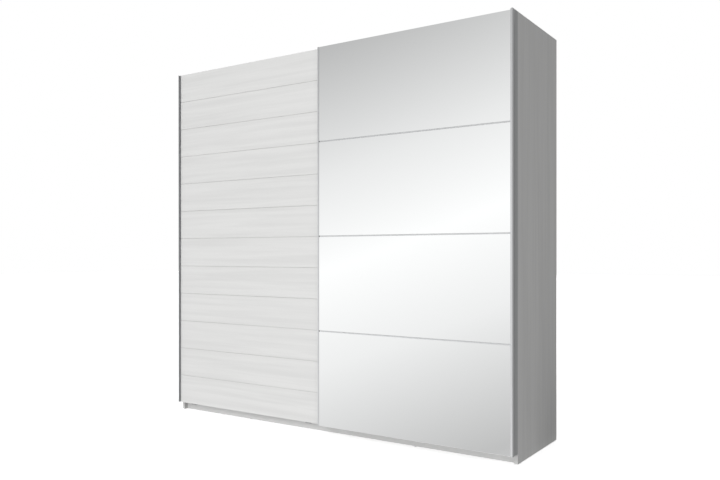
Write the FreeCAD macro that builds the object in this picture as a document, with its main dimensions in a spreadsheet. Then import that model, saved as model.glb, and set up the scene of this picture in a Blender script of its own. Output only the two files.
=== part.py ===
"""Two-door sliding wardrobe with overlay doors hung from a double running track.

The frame is +Z up, millimetres, with the origin on the floor under the middle of the overall box.
+X runs to the right of someone who faces the doors and +Y runs from the doors to the back.
The left door, faced with grooved boards, runs in the inner plane. The right door, faced with four
mirror panes, runs in the outer plane and its steel arms reach over and under the left door.
"""
import FreeCAD, Part
import os
import re
import Sketcher

Vector = FreeCAD.Vector
UP = Vector(0, 0, 1)
DOWN = Vector(0, 0, -1)
RIGHT = Vector(1, 0, 0)
LEFT = Vector(-1, 0, 0)
BACKWARDS = Vector(0, 1, 0)
FORWARDS = Vector(0, -1, 0)

# Driving sizes: name, value in millimetres, meaning.
DIMENSIONS = [
    ("overall_width", 2220, "outside of one side panel to outside of the other"),
    ("overall_height", 2100, "floor to the top of the side panels"),
    ("carcass_depth", 546, "front edge to back edge of a side panel"),
    ("board", 18, "thickness of side, top, bottom, shelf and partition boards"),
    ("board_web", 2, "board left between fittings let into its two faces at one place"),
    ("glide_height", 2, "thickness of a floor glide's pad"),
    ("glide_radius", 8, "radius of a floor glide's pad"),
    ("glide_inset", 40, "glide's centre from the end of an upright board"),
    ("plinth_recess", 21, "plinth face behind the carcass front edge"),
    ("plinth_board", 16, "thickness of the plinth boards and braces"),
    ("plinth_rear_inset", 56, "rear plinth board's front face from the carcass back edge"),
    ("plinth_top", 56, "height of the bottom panels' underside"),
    ("back_sheet", 3, "thickness of the hardboard back"),
    ("back_inset", 12, "back sheet's rear face to the carcass back edge"),
    ("back_lap", 16, "back sheet's lower edge below the bottom panels' underside"),
    ("groove_runout", 16, "back sheet's groove below the sheet's lower edge"),
    ("sheet_clearance", 0.2, "play of the back sheet in its groove, each side"),
    ("track_room", 60, "top panels below the top of the side panels"),
    ("shelf_height", 1790, "height of the hat shelf's underside"),
    ("shelf_setback", 20, "hat shelf's front edge behind the carcass front edge"),
    ("shelf_play", 1, "gap at each end of a shelf"),
    ("rail_drop", 60, "hat shelf's underside to the centre of the clothes rail"),
    ("rail_tall", 30, "height of the oval clothes rail"),
    ("rail_thick", 15, "thickness of the oval clothes rail"),
    ("rail_wall", 1.2, "wall of the clothes rail"),
    ("socket_depth", 10, "depth of a rail flange's socket"),
    ("flange_screw_gap", 11.4, "flange screw's centre beyond the clothes rail's section"),
    ("flange_margin", 7.6, "flange screw's centre to the end of the flange"),
    ("door_overlap", 12, "width by which the two closed doors lap in the middle"),
    ("door_bottom", 50, "height of the doors' lower edge"),
    ("door_top_gap", 4, "door's upper edge below the top of the side panels"),
    ("inner_gap", 10, "left door's back face in front of the carcass"),
    ("inner_board", 16, "thickness of the left door's panel"),
    ("door_pitch", 28, "left door's face to right door's face"),
    ("outer_board", 10, "thickness of the right door's backing board"),
    ("mirror_glass", 4, "thickness of a mirror pane"),
    ("board_rows", 12, "boards that the grooves draw on the left door"),
    ("groove_width", 3, "width of a groove"),
    ("groove_depth", 2, "depth of a groove"),
    ("pane_rows", 4, "mirror panes above each other"),
    ("divider_width", 5, "width of a strip between two panes"),
    ("divider_proud", 0.6, "strip's face in front of the mirror's face"),
    ("divider_play", 0.2, "gap between a strip and the pane beside it"),
    ("cap_length", 6, "length of a divider strip's end cap"),
    ("handle_projection", 10, "handle's nose in front of the door's face"),
    ("handle_wall", 2, "wall of the handle profile"),
    ("handle_nose", 6, "width of the handle's nose"),
    ("handle_lip", 2.5, "thickness of the handle's nose"),
    ("handle_flange", 14, "width of the handle's flange over the door's face"),
    ("flange_proud", 1.4, "thickness of the flanges on the door's face"),
    ("edge_wall", 1.4, "wall of the edge profile"),
    ("edge_flange", 8, "width of the edge profile's flange over the door's face"),
    ("tongue_length", 8, "length of the tongue that holds a profile in the door's edge"),
    ("tongue_thick", 2, "thickness of that tongue"),
    ("tongue_play", 0.1, "gap round the tongue"),
    ("strip_wall", 1.6, "wall of the closing strip on the right side panel"),
    ("strip_gap", 3, "closing strip's front edge behind the right door"),
    ("strip_play", 2.4, "left door's edge beside the closing strip at the end of its run"),
    ("track_start", 2, "track's front edge behind the carcass front edge"),
    ("track_width", 82, "width of the running track"),
    ("track_base", 2.4, "thickness of the track's base"),
    ("track_play", 1, "gap at each end of the track and of the guide rail"),
    ("track_screw_inset", 90, "first track screw from the end of its bay"),
    ("rib_height", 8, "height of a running rib over the track's base"),
    ("rib_width", 3, "width of a running rib"),
    ("inner_rib", 26, "left door's rib behind the carcass front edge"),
    ("outer_rib", 64, "right door's rib behind the carcass front edge"),
    ("wheel_tread", 14, "radius of a wheel at the bottom of its groove"),
    ("wheel_flange", 3, "rise of a wheel's rims over its tread"),
    ("wheel_flare", 0.9, "width of the slope between a wheel's tread and its rims"),
    ("wheel_width", 10, "width of a wheel"),
    ("wheel_gap", 0.3, "gap between a wheel's tread and its rib"),
    ("wheel_spread", 28, "wheel centre to the middle of its carrier"),
    ("axle_radius", 3, "radius of a wheel's axle"),
    ("axle_clearance", 0.06, "radial running clearance of a wheel on its axle"),
    ("wheel_side_play", 0.3, "gap between a wheel and the collar at each side"),
    ("collar_radius", 4.8, "radius of an axle's collars"),
    ("rivet_head", 1, "thickness of the end collar and length of the riveted end"),
    ("carrier_inset", 150, "middle of a carrier from the door's edge"),
    ("carrier_width", 90, "width of a carrier"),
    ("steel", 2.5, "thickness of the carriers' sheet steel"),
    ("arm_gap", 2.8, "gap between a wheel and the left carrier's arm above it"),
    ("plate_height", 110, "height of a carrier's plate on the door"),
    ("plate_screw_inset", 9.4, "lower screws of a carrier from its plate's lower edge"),
    ("plate_screw_rows", 30.4, "lower screws of a carrier to its upper screws"),
    ("ear_gap", 2, "gap between a carrier's ear and its wheels"),
    ("guide_inset", 110, "middle of a bottom guide from the door's edge"),
    ("guide_width", 40, "width of a bottom guide"),
    ("guide_wall", 1.6, "wall of the bottom guide rail"),
    ("guide_slot", 6.4, "width of a guide rail's slot"),
    ("guide_start", 2, "guide rail's front edge behind the carcass front edge"),
    ("guide_height", 11.5, "height of the guide rail"),
    ("guide_ceiling", 2.4, "thickness of the guide rail over its slots"),
    ("pin_radius", 2.7, "radius of a bottom guide's pin"),
    ("pin_gap", 0.8, "top of a bottom guide's pin below the guide rail's ceiling"),
    ("foot_thick", 2, "thickness of a bottom guide's foot"),
    ("foot_gap", 1, "gap between the guide rail and the left door's feet"),
    ("feet_gap", 1.5, "gap between the left door's feet and the right door's feet"),
    ("heel_low", 4, "right door's edge to the underside of its foot's heel"),
    ("heel_high", 1.6, "right door's edge to the top of its foot's heel"),
    ("slope_end", 1, "end of the right door's sloping foot in front of the left door's back"),
    ("guide_plate", 36, "height of a bottom guide's plate on the door"),
    ("stop_length", 20, "length of a track stop"),
    ("stop_height", 26, "height of a track stop over the track's base"),
    ("stop_gap", 0.6, "gap between a wheel and its stop at the end of a door's run"),
    ("screw_head", 3.8, "radius of a countersunk screw's head"),
    ("screw_sink", 2.2, "depth of that head"),
    ("screw_radius", 1.9, "radius of that screw's shank"),
    ("hole_play", 0.15, "radial gap of a fastener in its hole"),
    ("cam_radius", 7.5, "radius of a cam lock"),
    ("cam_depth", 12.5, "depth of a cam lock"),
    ("cam_reach", 24, "cam's centre from the board's end"),
    ("driver_slot", 1.6, "width of the screwdriver slot in a cam lock"),
    ("driver_slot_depth", 1.2, "depth of that slot"),
    ("bolt_radius", 3, "radius of a cam bolt"),
    ("bolt_neck", 2.1, "radius of a cam bolt's neck"),
    ("neck_length", 4, "length of that neck"),
    ("bolt_grip", 9, "length of a cam bolt in the upright board"),
    ("dowel_radius", 4, "radius of a wooden dowel"),
    ("dowel_length", 28, "length of a wooden dowel"),
    ("dowel_grip", 8, "length of a dowel in the upright board"),
    ("fitting_front", 130, "first cam lock behind the carcass front edge"),
    ("fitting_span", 300, "first cam lock to the second"),
    ("fitting_shift", 32, "right-hand fittings behind the left-hand ones"),
    ("dowel_shift", 64, "dowel from the cam lock beside it"),
    ("shelf_pin_inset", 60, "shelf pin from the carcass front edge and from the back sheet"),
    ("shelf_pin_radius", 2.5, "radius of a shelf pin"),
    ("shelf_pin_length", 7, "length of a shelf pin under the shelf"),
]

# Places worked out from the driving sizes.
PLACES = [
    ("left", "-overall_width / 2"),
    ("right", "overall_width / 2"),
    ("door_width", "(overall_width + door_overlap) / 2"),
    ("blind_depth", "(board - board_web) / 2"),
    ("screw_length", "steel + blind_depth"),
    ("wheel_rim", "wheel_tread + wheel_flange"),
    ("door_zone", "inner_gap + inner_board + door_pitch + handle_projection"),
    ("front", "(door_zone - carcass_depth) / 2"),
    ("back", "front + carcass_depth"),
    ("inner_back", "front - inner_gap"),
    ("inner_face", "inner_back - inner_board"),
    ("outer_face", "inner_face - door_pitch"),
    ("outer_back", "outer_face + mirror_glass + outer_board"),
    ("door_top", "overall_height - door_top_gap"),
    ("door_height", "door_top - door_bottom"),
    ("bay_left", "left + board"),
    ("bay_right", "right - board"),
    ("bay_width", "bay_right - board / 2"),
    ("inside_width", "bay_right - bay_left"),
    ("top_surface", "overall_height - track_room"),
    ("floor_surface", "plinth_top + board"),
    ("back_rear", "back - back_inset"),
    ("back_face", "back_rear - back_sheet"),
    ("shelf_board_depth", "back_face - front - 2 * sheet_clearance"),
    ("track_top", "top_surface + track_base"),
    ("rib_top", "track_top + rib_height"),
    ("wheel_height", "rib_top + wheel_gap + wheel_tread"),
    ("inner_wheel", "front + inner_rib"),
    ("outer_wheel", "front + outer_rib"),
    ("ear_offset", "wheel_width / 2 + ear_gap"),
    ("inner_arm_top", "wheel_height + wheel_rim + arm_gap + steel"),
    ("ear_bottom", "rib_top + ear_gap"),
    ("plinth_front", "front + plinth_recess"),
    ("plinth_rear", "back - plinth_rear_inset"),
    ("guide_bottom", "plinth_top - guide_height"),
    ("guide_ceiling_under", "plinth_top - guide_ceiling"),
    ("guide_depth", "3 * guide_wall + 2 * guide_slot"),
    ("inner_slot", "front + guide_start + guide_wall + guide_slot / 2"),
    ("outer_slot", "inner_slot + guide_wall + guide_slot"),
    ("pin_top", "guide_ceiling_under - pin_gap"),
    ("inner_foot", "guide_bottom - foot_gap - foot_thick"),
    ("outer_foot", "inner_foot - feet_gap - foot_thick"),
    ("left_door", "left"),
    ("right_door", "right - door_width"),
    ("row_height", "door_height / board_rows"),
    ("pane_pitch", "door_height / pane_rows"),
    ("rail_height", "shelf_height - rail_drop"),
    ("rail_middle", "front + carcass_depth / 2"),
]

TRACK_SCREWS_PER_BAY = 3

document = FreeCAD.newDocument("sliding_wardrobe")
sheet = document.addObject("Spreadsheet::Sheet", "dims")
for row, (alias, millimetres, meaning) in enumerate(DIMENSIONS, start=1):
    sheet.set(f"A{row}", meaning)
    sheet.set(f"B{row}", str(millimetres))
    sheet.setAlias(f"B{row}", alias)
SHEET_WORDS = {alias for alias, millimetres, meaning in DIMENSIONS}
PLACE_WORDS = {name for name, text in PLACES}
places = document.addObject("App::VarSet", "places")
document.recompute()
pieces = []


def formula(text):
    """Point each known word of a formula at its cell or at its place."""
    def reference(found):
        word = found.group(0)
        if word in SHEET_WORDS:
            return "dims." + word
        if word in PLACE_WORDS:
            return "places." + word
        return word
    return re.sub(r"[a-z_]+", reference, text)


def number(text):
    """Work out a formula in millimetres."""
    return float(places.evalExpression(formula(text)))


for place_name, place_text in PLACES:
    places.addProperty("App::PropertyFloat", place_name)
    places.setExpression(place_name, formula(place_text))
    document.recompute()


def bind(thing, **formulas):
    """Tie properties of an object to formulas. A double underscore stands for a dot."""
    for name, text in formulas.items():
        thing.setExpression(name.replace("__", "."), formula(text))


def place_at(thing, corner):
    """Tie the position of an object to three formulas."""
    across, deep, high = corner
    bind(thing, Placement__Base__x=across, Placement__Base__y=deep, Placement__Base__z=high)


def keep(thing, label):
    """Name a finished sub-part and put it on the list of pieces to write."""
    thing.Label = label
    pieces.append(thing)
    return thing


# ---------------------------------------------------------------- bodies drawn as sketches

def outline(body, role, corners):
    """Draw a closed straight-sided sketch on a body's own plane, every corner tied to formulas."""
    sketch = body.newObject("Sketcher::SketchObject", body.Name + "_outline")
    plane = next(item for item in body.Origin.OriginFeatures if item.Role == role)
    sketch.AttachmentSupport = (plane, "")
    sketch.MapMode = "FlatFace"
    points = [Vector(number(across), number(up), 0) for across, up in corners]
    for start, end in zip(points, points[1:] + points[:1]):
        sketch.addGeometry(Part.LineSegment(start, end), False)
    for index in range(len(points)):
        following = (index + 1) % len(points)
        sketch.addConstraint(Sketcher.Constraint("Coincident", index, 2, following, 1))
    for index, (across, up) in enumerate(corners):
        for kind, text in (("DistanceX", across), ("DistanceY", up)):
            rule = Sketcher.Constraint(kind, -1, 1, index, 1, number(text))
            sketch.setExpression(f"Constraints[{sketch.addConstraint(rule)}]", formula(text))
    return sketch


def new_body(label, corner):
    """Start a body at a corner given by three formulas."""
    body = document.addObject("PartDesign::Body", label)
    place_at(body, corner)
    return keep(body, label)


def padded(label, corner, role, corners, length):
    """Extrude an outline from a body's own plane."""
    body = new_body(label, corner)
    pad = body.newObject("PartDesign::Pad", label + "_pad")
    pad.Profile = outline(body, role, corners)
    bind(pad, Length=length)
    body.Tip = pad
    return body


def turned(label, corner, corners):
    """Turn a half section, drawn as radius and distance along Y, about the body's Y axis."""
    body = new_body(label, corner)
    turn = body.newObject("PartDesign::Revolution", label + "_turn")
    sketch = outline(body, "XY_Plane", corners)
    turn.Profile = sketch
    turn.ReferenceAxis = (sketch, ["V_Axis"])
    turn.Angle = 360
    body.Tip = turn
    return body


# ---------------------------------------------------------------- boards and their holes

def box(label, corner, size):
    """Make a board from its corner and its three sizes, all formulas."""
    board = document.addObject("Part::Box", label)
    length, width, height = size
    bind(board, Length=length, Width=width, Height=height)
    place_at(board, corner)
    return board


def bored(label, blank, cutters):
    """Cut a group of shapes out of a board."""
    tool = document.addObject("Part::Feature", label + "_bores")
    tool.Shape = Part.makeCompound(cutters)
    cut = document.addObject("Part::Cut", label + "_cut")
    blank.Label = label + "_blank"
    cut.Base = blank
    cut.Tool = tool
    return keep(cut, label)


def group(label, solids):
    """Keep identical pieces together as one node of separate solids."""
    feature = document.addObject("Part::Feature", label)
    feature.Shape = Part.makeCompound(solids)
    return keep(feature, label)


def spindle(start, direction, profile):
    """Turn a stepped pin about a line: profile lists distance along the line and radius there."""
    section = [Vector(0, 0, profile[0][0])]
    section += [Vector(radius, 0, distance) for distance, radius in profile]
    section.append(Vector(0, 0, profile[-1][0]))
    face = Part.Face(Part.makePolygon(section + section[:1]))
    solid = face.revolve(Vector(0, 0, 0), UP, 360)
    solid.Placement = FreeCAD.Placement(start, FreeCAD.Rotation(UP, direction))
    return solid


def screw(start, direction, play=0.0):
    """Countersunk screw with its head flush at start, or with play the hole it needs."""
    head = number("screw_head") + play
    shank = number("screw_radius") + play
    sink = number("screw_sink")
    length = number("screw_length") + play
    return spindle(start, direction, [(-play, head), (0, head), (sink, shank), (length, shank)])


# ---------------------------------------------------------------- joints between the boards

def carcass_joints():
    """Work out where the cam locks, bolts and dowels sit in the four top and bottom panels.

    Returns:
        A dictionary from board name to a list of (kind, point on the board's end, way out).
    """
    joints = {}
    levels = {"top_panel": "top_surface - board / 2", "bottom_panel": "plinth_top + board / 2"}
    ends = {
        "left": [("bay_left", LEFT), ("-board / 2", RIGHT)],
        "right": [("board / 2", LEFT), ("bay_right", RIGHT)],
    }
    for level, height in levels.items():
        for side, faces in ends.items():
            shift = number("fitting_shift") if side == "right" else 0.0
            first = number("front + fitting_front") + shift
            second = first + number("fitting_span")
            spots = [("cam", first), ("cam", second)]
            spots += [("dowel", first + number("dowel_shift"))]
            spots += [("dowel", second - number("dowel_shift"))]
            joints[f"{level}_{side}"] = [
                (kind, Vector(number(face), deep, number(height)), way)
                for face, way in faces
                for kind, deep in spots
            ]
    return joints


def cam_bolt(point, way, play=0.0):
    """Bolt from the upright board into the cam, with its neck under the head."""
    radius = number("bolt_radius") + play
    grip = number("bolt_grip") + play
    head = number("cam_reach - bolt_radius")
    neck = radius if play else number("bolt_neck")
    neck_start = head - number("neck_length")
    tip = head + number("bolt_radius") + play
    profile = [(-grip, radius), (neck_start, radius), (neck_start, neck), (head, neck)]
    return spindle(point, way * -1, profile + [(head, radius), (tip, radius)])


def cam_lock(point, way, face, play=0.0):
    """Round cam set in the board's face, open towards its bolt and slotted for a screwdriver."""
    radius = number("cam_radius") + play
    depth = number("cam_depth")
    surface = point - way * number("cam_reach") + face * number("board / 2")
    body = Part.makeCylinder(radius, depth + play, surface, face * -1)
    if play:
        return body
    bolt_room = Part.makeCylinder(number("bolt_radius") + PLAY, number("cam_reach"), point, way * -1)
    wide = number("driver_slot")
    deep = number("driver_slot_depth")
    slot = Part.makeBox(radius, wide, 2 * deep)
    slot.translate(surface - Vector(radius / 2, wide / 2, deep))
    return body.cut(bolt_room).cut(slot)


def dowel(point, way, play=0.0):
    """Wooden dowel that locates a board on the upright beside it."""
    radius = number("dowel_radius") + play
    grip = number("dowel_grip") + play
    reach = number("dowel_length - dowel_grip") + play
    return spindle(point, way * -1, [(-grip, radius), (reach, radius)])


JOINTS = carcass_joints()
PLAY = number("hole_play")


def face_of(board_name):
    """Give the hidden face that a board's cams are set in: up on the top, down on the bottom."""
    return UP if board_name.startswith("top") else DOWN


def joint_cutters(board_name):
    """Give the holes that one board's fittings need."""
    cutters = []
    for kind, point, way in JOINTS[board_name]:
        if kind == "dowel":
            cutters.append(dowel(point, way, PLAY))
        else:
            cutters.append(cam_bolt(point, way, PLAY))
            cutters.append(cam_lock(point, way, face_of(board_name), PLAY))
    return cutters


def upright_cutters(lowest, highest):
    """Give the bolt and dowel holes in an upright board that spans these X values."""
    cutters = []
    for fittings in JOINTS.values():
        for kind, point, way in fittings:
            if lowest <= point.x + way.x <= highest:
                cutters.append(dowel(point, way, PLAY) if kind == "dowel" else cam_bolt(point, way, PLAY))
    return cutters


# ---------------------------------------------------------------- shelf pins and rail flanges

def shelf_spots():
    """Give each shelf pin's point on its upright board and the way into the bay."""
    spots = []
    for face, way in (("bay_left", RIGHT), ("-board / 2", LEFT), ("board / 2", RIGHT), ("bay_right", LEFT)):
        for deep in ("front + shelf_pin_inset", "back_face - shelf_pin_inset"):
            spots.append((Vector(number(face), number(deep), number("shelf_height - shelf_pin_radius")), way))
    return spots


def shelf_pin(point, way, play=0.0):
    """Plain steel pin, or with play the blind hole that it needs."""
    radius = number("shelf_pin_radius") + play
    depth = number("blind_depth") + play
    length = 0 if play else number("shelf_pin_length")
    return spindle(point, way, [(-depth, radius), (length, radius)])


def rail_ends():
    """Give each clothes rail end: the point on the upright board and the way into the bay."""
    faces = (("bay_left", RIGHT), ("-board / 2", LEFT), ("board / 2", RIGHT), ("bay_right", LEFT))
    return [(Vector(number(face), number("rail_middle"), number("rail_height")), way) for face, way in faces]


def flange_screws(point, way, play=0.0):
    """Two screws through the plate of a rail flange, above and below its socket."""
    plate = number("steel")
    offset = number("rail_tall / 2 + flange_screw_gap")
    starts = [point + way * plate + UP * (offset * sign) for sign in (-1, 1)]
    return [screw(start, way * -1, play) for start in starts]


def rail_flange(point, way):
    """Steel plate with an oval socket that holds the end of a clothes rail."""
    plate = number("steel")
    wall = number("steel")
    socket = number("socket_depth")
    tall = number("rail_tall") + 2 * PLAY
    thick = number("rail_thick") + 2 * PLAY
    outer = oval_bar(point, way, tall + 2 * wall, thick + 2 * wall, socket)
    inner = oval_bar(point + way * plate, way, tall, thick, socket)
    height = 2 * number("rail_tall / 2 + flange_screw_gap + flange_margin")
    sheet_plate = Part.makeBox(plate, thick + 2 * wall, height)
    low_x = min(point.x, point.x + way.x * plate)
    sheet_plate.translate(Vector(low_x, point.y - thick / 2 - wall, point.z - height / 2))
    holes = Part.makeCompound(flange_screws(point, way, PLAY))
    return sheet_plate.fuse(outer).cut(inner).cut(holes).removeSplitter()


def oval_bar(point, way, tall, thick, length):
    """Bar of oval section, tall and thick, running along X from a point."""
    radius = thick / 2
    rise = tall / 2 - radius
    low = Vector(point.x, point.y, point.z - rise)
    high = Vector(point.x, point.y, point.z + rise)
    bar = Part.makeCylinder(radius, length, low, way).fuse(Part.makeCylinder(radius, length, high, way))
    core = Part.makeBox(length, thick, 2 * rise)
    core.translate(Vector(min(point.x, point.x + way.x * length), point.y - radius, point.z - rise))
    return bar.fuse(core).removeSplitter()


# ---------------------------------------------------------------- carcass

def side_panels():
    """Two full-height side boards, grooved at the back for the back sheets."""
    size = ("board", "carcass_depth", "overall_height - glide_height")
    walls = (("left", "left", "bay_left", -1), ("right", "bay_right", "bay_right", 1))
    for side, outer_x, inner_x, into in walls:
        label = f"side_panel_{side}"
        blank = box(label, (outer_x, "front", "glide_height"), size)
        lowest = number(outer_x)
        cutters = [sheet_groove(number(inner_x), into)]
        cutters += upright_cutters(lowest, lowest + number("board"))
        cutters += bay_wall_cutters(lowest, lowest + number("board"))
        bored(label, blank, cutters)


def sheet_groove(inner_x, way):
    """Groove for a back sheet, cut into the upright board from its inner face."""
    depth = number("blind_depth")
    play = number("sheet_clearance")
    low = number("plinth_top - back_lap - groove_runout")
    groove = Part.makeBox(depth, number("back_sheet") + 2 * play, number("top_surface") - low)
    groove.translate(Vector(min(inner_x, inner_x + way * depth), number("back_face") - play, low))
    return groove


def bay_wall_cutters(lowest, highest):
    """Holes for shelf pins and flange screws in an upright board that spans these X values."""
    cutters = []
    for point, way in shelf_spots():
        if lowest <= point.x - way.x <= highest:
            cutters.append(shelf_pin(point, way, PLAY))
    for point, way in rail_ends():
        if lowest <= point.x - way.x <= highest:
            cutters += flange_screws(point, way, PLAY)
    return cutters


def centre_partition():
    """Upright between the two bays, notched below for the plinth and the guide rail."""
    corners = [
        ("0", "plinth_top"),
        ("plinth_recess + plinth_board + sheet_clearance", "plinth_top"),
        ("plinth_recess + plinth_board + sheet_clearance", "glide_height"),
        ("plinth_rear - front - sheet_clearance", "glide_height"),
        ("plinth_rear - front - sheet_clearance", "plinth_top"),
        ("carcass_depth", "plinth_top"),
        ("carcass_depth", "top_surface"),
        ("0", "top_surface"),
    ]
    label = "centre_partition"
    blank = padded(label, ("-board / 2", "front", "0"), "YZ_Plane", corners, "board")
    pieces.remove(blank)
    half = number("board / 2")
    cutters = [sheet_groove(-half, 1), sheet_groove(half, -1)]
    cutters += upright_cutters(-half, half) + bay_wall_cutters(-half, half)
    bored(label, blank, cutters)


def top_and_bottom_panels():
    """Four boards that close the bays above and below, with their fittings' holes."""
    for board_name in JOINTS:
        start = "bay_left" if board_name.endswith("left") else "board / 2"
        level = "top_surface - board" if board_name.startswith("top") else "plinth_top"
        blank = box(board_name, (start, "front", level), ("bay_width", "shelf_board_depth", "board"))
        screws = track_screws(PLAY) if board_name.startswith("top") else guide_rail_screws(PLAY)
        bored(board_name, blank, joint_cutters(board_name) + screws)


def back_sheets():
    """Hardboard back of each bay, held in the grooves of the uprights."""
    for side, start in (("left", "bay_left"), ("right", "board / 2")):
        corner = (f"{start} - blind_depth + sheet_clearance", "back_face", "plinth_top - back_lap")
        size = (
            "bay_width + 2 * blind_depth - 2 * sheet_clearance",
            "back_sheet",
            "top_surface - plinth_top + back_lap - sheet_clearance",
        )
        keep(box(f"back_panel_{side}", corner, size), f"back_panel_{side}")


def plinth():
    """Front and rear plinth boards with a brace between them in each bay."""
    height = "plinth_top - glide_height"
    front_corner = ("bay_left", "plinth_front", "glide_height")
    rear_corner = ("bay_left", "plinth_rear", "glide_height")
    size = ("inside_width", "plinth_board", height)
    keep(box("plinth_front", front_corner, size), "plinth_front")
    keep(box("plinth_rear", rear_corner, size), "plinth_rear")
    start = number("plinth_front + plinth_board")
    length = number("plinth_rear") - start
    thick = number("plinth_board")
    braces = []
    for sign in (-1, 1):
        brace = Part.makeBox(thick, length, number(height))
        middle = sign * number("(bay_right + board / 2) / 2")
        brace.translate(Vector(middle - thick / 2, start, number("glide_height")))
        braces.append(brace)
    group("plinth_braces", braces)


def floor_glides():
    """Plastic pads under the uprights and the plinth boards."""
    radius = number("glide_radius")
    inset = number("glide_inset")
    uprights = [number("left + board / 2"), 0.0, number("right - board / 2")]
    spots = []
    for across in uprights:
        start = "plinth_front + plinth_board" if across == 0 else "front"
        end = "plinth_rear" if across == 0 else "back"
        spots += [(across, number(start) + inset), (across, number(end) - inset)]
    for across in (number("left / 2"), number("right / 2")):
        for deep in ("plinth_front + plinth_board / 2", "plinth_rear + plinth_board / 2"):
            spots.append((across, number(deep)))
    pads = [Part.makeCylinder(radius, number("glide_height"), Vector(x, y, 0), UP) for x, y in spots]
    group("floor_glides", pads)


def shelves_and_rails():
    """Hat shelf on four pins and an oval clothes rail in each bay."""
    for side, start in (("left", "bay_left"), ("right", "board / 2")):
        corner = (f"{start} + shelf_play", "front + shelf_setback", "shelf_height")
        size = ("bay_width - 2 * shelf_play", "shelf_board_depth - shelf_setback", "board")
        keep(box(f"shelf_{side}", corner, size), f"shelf_{side}")
    group("shelf_pins", [shelf_pin(point, way) for point, way in shelf_spots()])
    inset = number("steel + hole_play")
    length = number("bay_width") - 2 * inset
    wall = number("rail_wall")
    tall = number("rail_tall")
    thick = number("rail_thick")
    for side, (point, way) in zip(("left", "right"), rail_ends()[::2]):
        start = point + way * inset
        outer = oval_bar(start, way, tall, thick, length)
        inner = oval_bar(start, way, tall - 2 * wall, thick - 2 * wall, length)
        group(f"clothes_rail_{side}", [outer.cut(inner)])
    group("rail_flanges", [rail_flange(point, way) for point, way in rail_ends()])
    screws = [item for point, way in rail_ends() for item in flange_screws(point, way)]
    group("flange_screws", screws)


def fittings():
    """Cam locks, their bolts and the dowels of the top and bottom panels."""
    cams, bolts, dowels = [], [], []
    for board_name, spots in JOINTS.items():
        for kind, point, way in spots:
            if kind == "dowel":
                dowels.append(dowel(point, way))
            else:
                cams.append(cam_lock(point, way, face_of(board_name)))
                bolts.append(cam_bolt(point, way))
    group("cam_locks", cams)
    group("cam_bolts", bolts)
    group("dowels", dowels)


# ---------------------------------------------------------------- running track and guide rail

def spread(first, last, count):
    """Space a number of points evenly from first to last."""
    return [first + (last - first) * step / (count - 1) for step in range(count)]


def bay_spots():
    """X values of evenly spaced screws in both bays, the same number in each."""
    inset = number("track_screw_inset")
    low = number("board / 2") + inset
    high = number("bay_right") - inset
    right_bay = spread(low, high, TRACK_SCREWS_PER_BAY)
    return [-across for across in reversed(right_bay)] + right_bay


def track_screws(play=0.0):
    """Screws down through the track's base, midway between its ribs."""
    deep = number("(inner_wheel + outer_wheel) / 2")
    return [screw(Vector(across, deep, number("track_top")), DOWN, play) for across in bay_spots()]


def guide_rail_screws(play=0.0):
    """Screws up through the ceiling of the guide rail's front slot."""
    deep = number("inner_slot")
    height = number("guide_ceiling_under")
    return [screw(Vector(across, deep, height), UP, play) for across in bay_spots()]


def running_track():
    """Aluminium track on the top panels with one rib for each door and a rear lip."""
    lip = "track_width - track_base"
    top = "track_base + rib_height"
    corners = [("0", "0"), ("track_width", "0"), ("track_width", top), (lip, top), (lip, "track_base")]
    for rib in ("outer_rib", "inner_rib"):
        middle = f"{rib} - track_start"
        corners += [(f"{middle} + rib_width / 2", "track_base"), (f"{middle} + rib_width / 2", top)]
        corners += [(f"{middle} - rib_width / 2", top), (f"{middle} - rib_width / 2", "track_base")]
    corners.append(("0", "track_base"))
    start = ("bay_left + track_play", "front + track_start", "top_surface")
    blank = padded("running_track", start, "YZ_Plane", corners, "inside_width - 2 * track_play")
    pieces.remove(blank)
    bored("running_track", blank, track_screws(PLAY))


def guide_rail():
    """Aluminium rail under the bottom panels with two slots that open downwards."""
    slot_height = "guide_ceiling_under - guide_bottom"
    corners = [("0", "guide_height"), ("0", "0"), ("guide_wall", "0"), ("guide_wall", slot_height)]
    second = "guide_wall + guide_slot"
    corners += [(second, slot_height), (second, "0"), (f"{second} + guide_wall", "0")]
    corners += [(f"{second} + guide_wall", slot_height), ("guide_depth - guide_wall", slot_height)]
    corners += [("guide_depth - guide_wall", "0"), ("guide_depth", "0"), ("guide_depth", "guide_height")]
    start = ("bay_left + track_play", "front + guide_start", "guide_bottom")
    blank = padded("guide_rail", start, "YZ_Plane", corners, "inside_width - 2 * track_play")
    pieces.remove(blank)
    bored("guide_rail", blank, guide_rail_screws(PLAY))
    group("rail_screws", track_screws() + guide_rail_screws())


def track_stops():
    """Rubber stops astride each rib, just clear of the outermost wheels at either limit."""
    reach = number("carrier_inset - wheel_spread - wheel_rim - stop_gap")
    length = number("stop_length")
    height = number("stop_height")
    width = number("wheel_width")
    stops = []
    for middle, end_gap in (("inner_wheel", "strip_wall + strip_play"), ("outer_wheel", "0")):
        width_of_slot = number("rib_width") + 2 * PLAY
        rib = Part.makeBox(number("overall_width"), width_of_slot, number("rib_height") + PLAY)
        rib.translate(Vector(number("left"), number(middle) - width_of_slot / 2, number("track_top")))
        for start in (number("left") + reach - length, number(f"right - ({end_gap})") - reach):
            block = Part.makeBox(length, width, height)
            block.translate(Vector(start, number(middle) - width / 2, number("track_top")))
            stops.append(block.cut(rib))
    group("track_stops", stops)


# ---------------------------------------------------------------- door hardware

def door_spots(door, inset):
    """X values of the two fittings of a door, each the same inset from its edge."""
    return [number(f"{door} + {inset}"), number(f"{door} + door_width - {inset}")]


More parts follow.
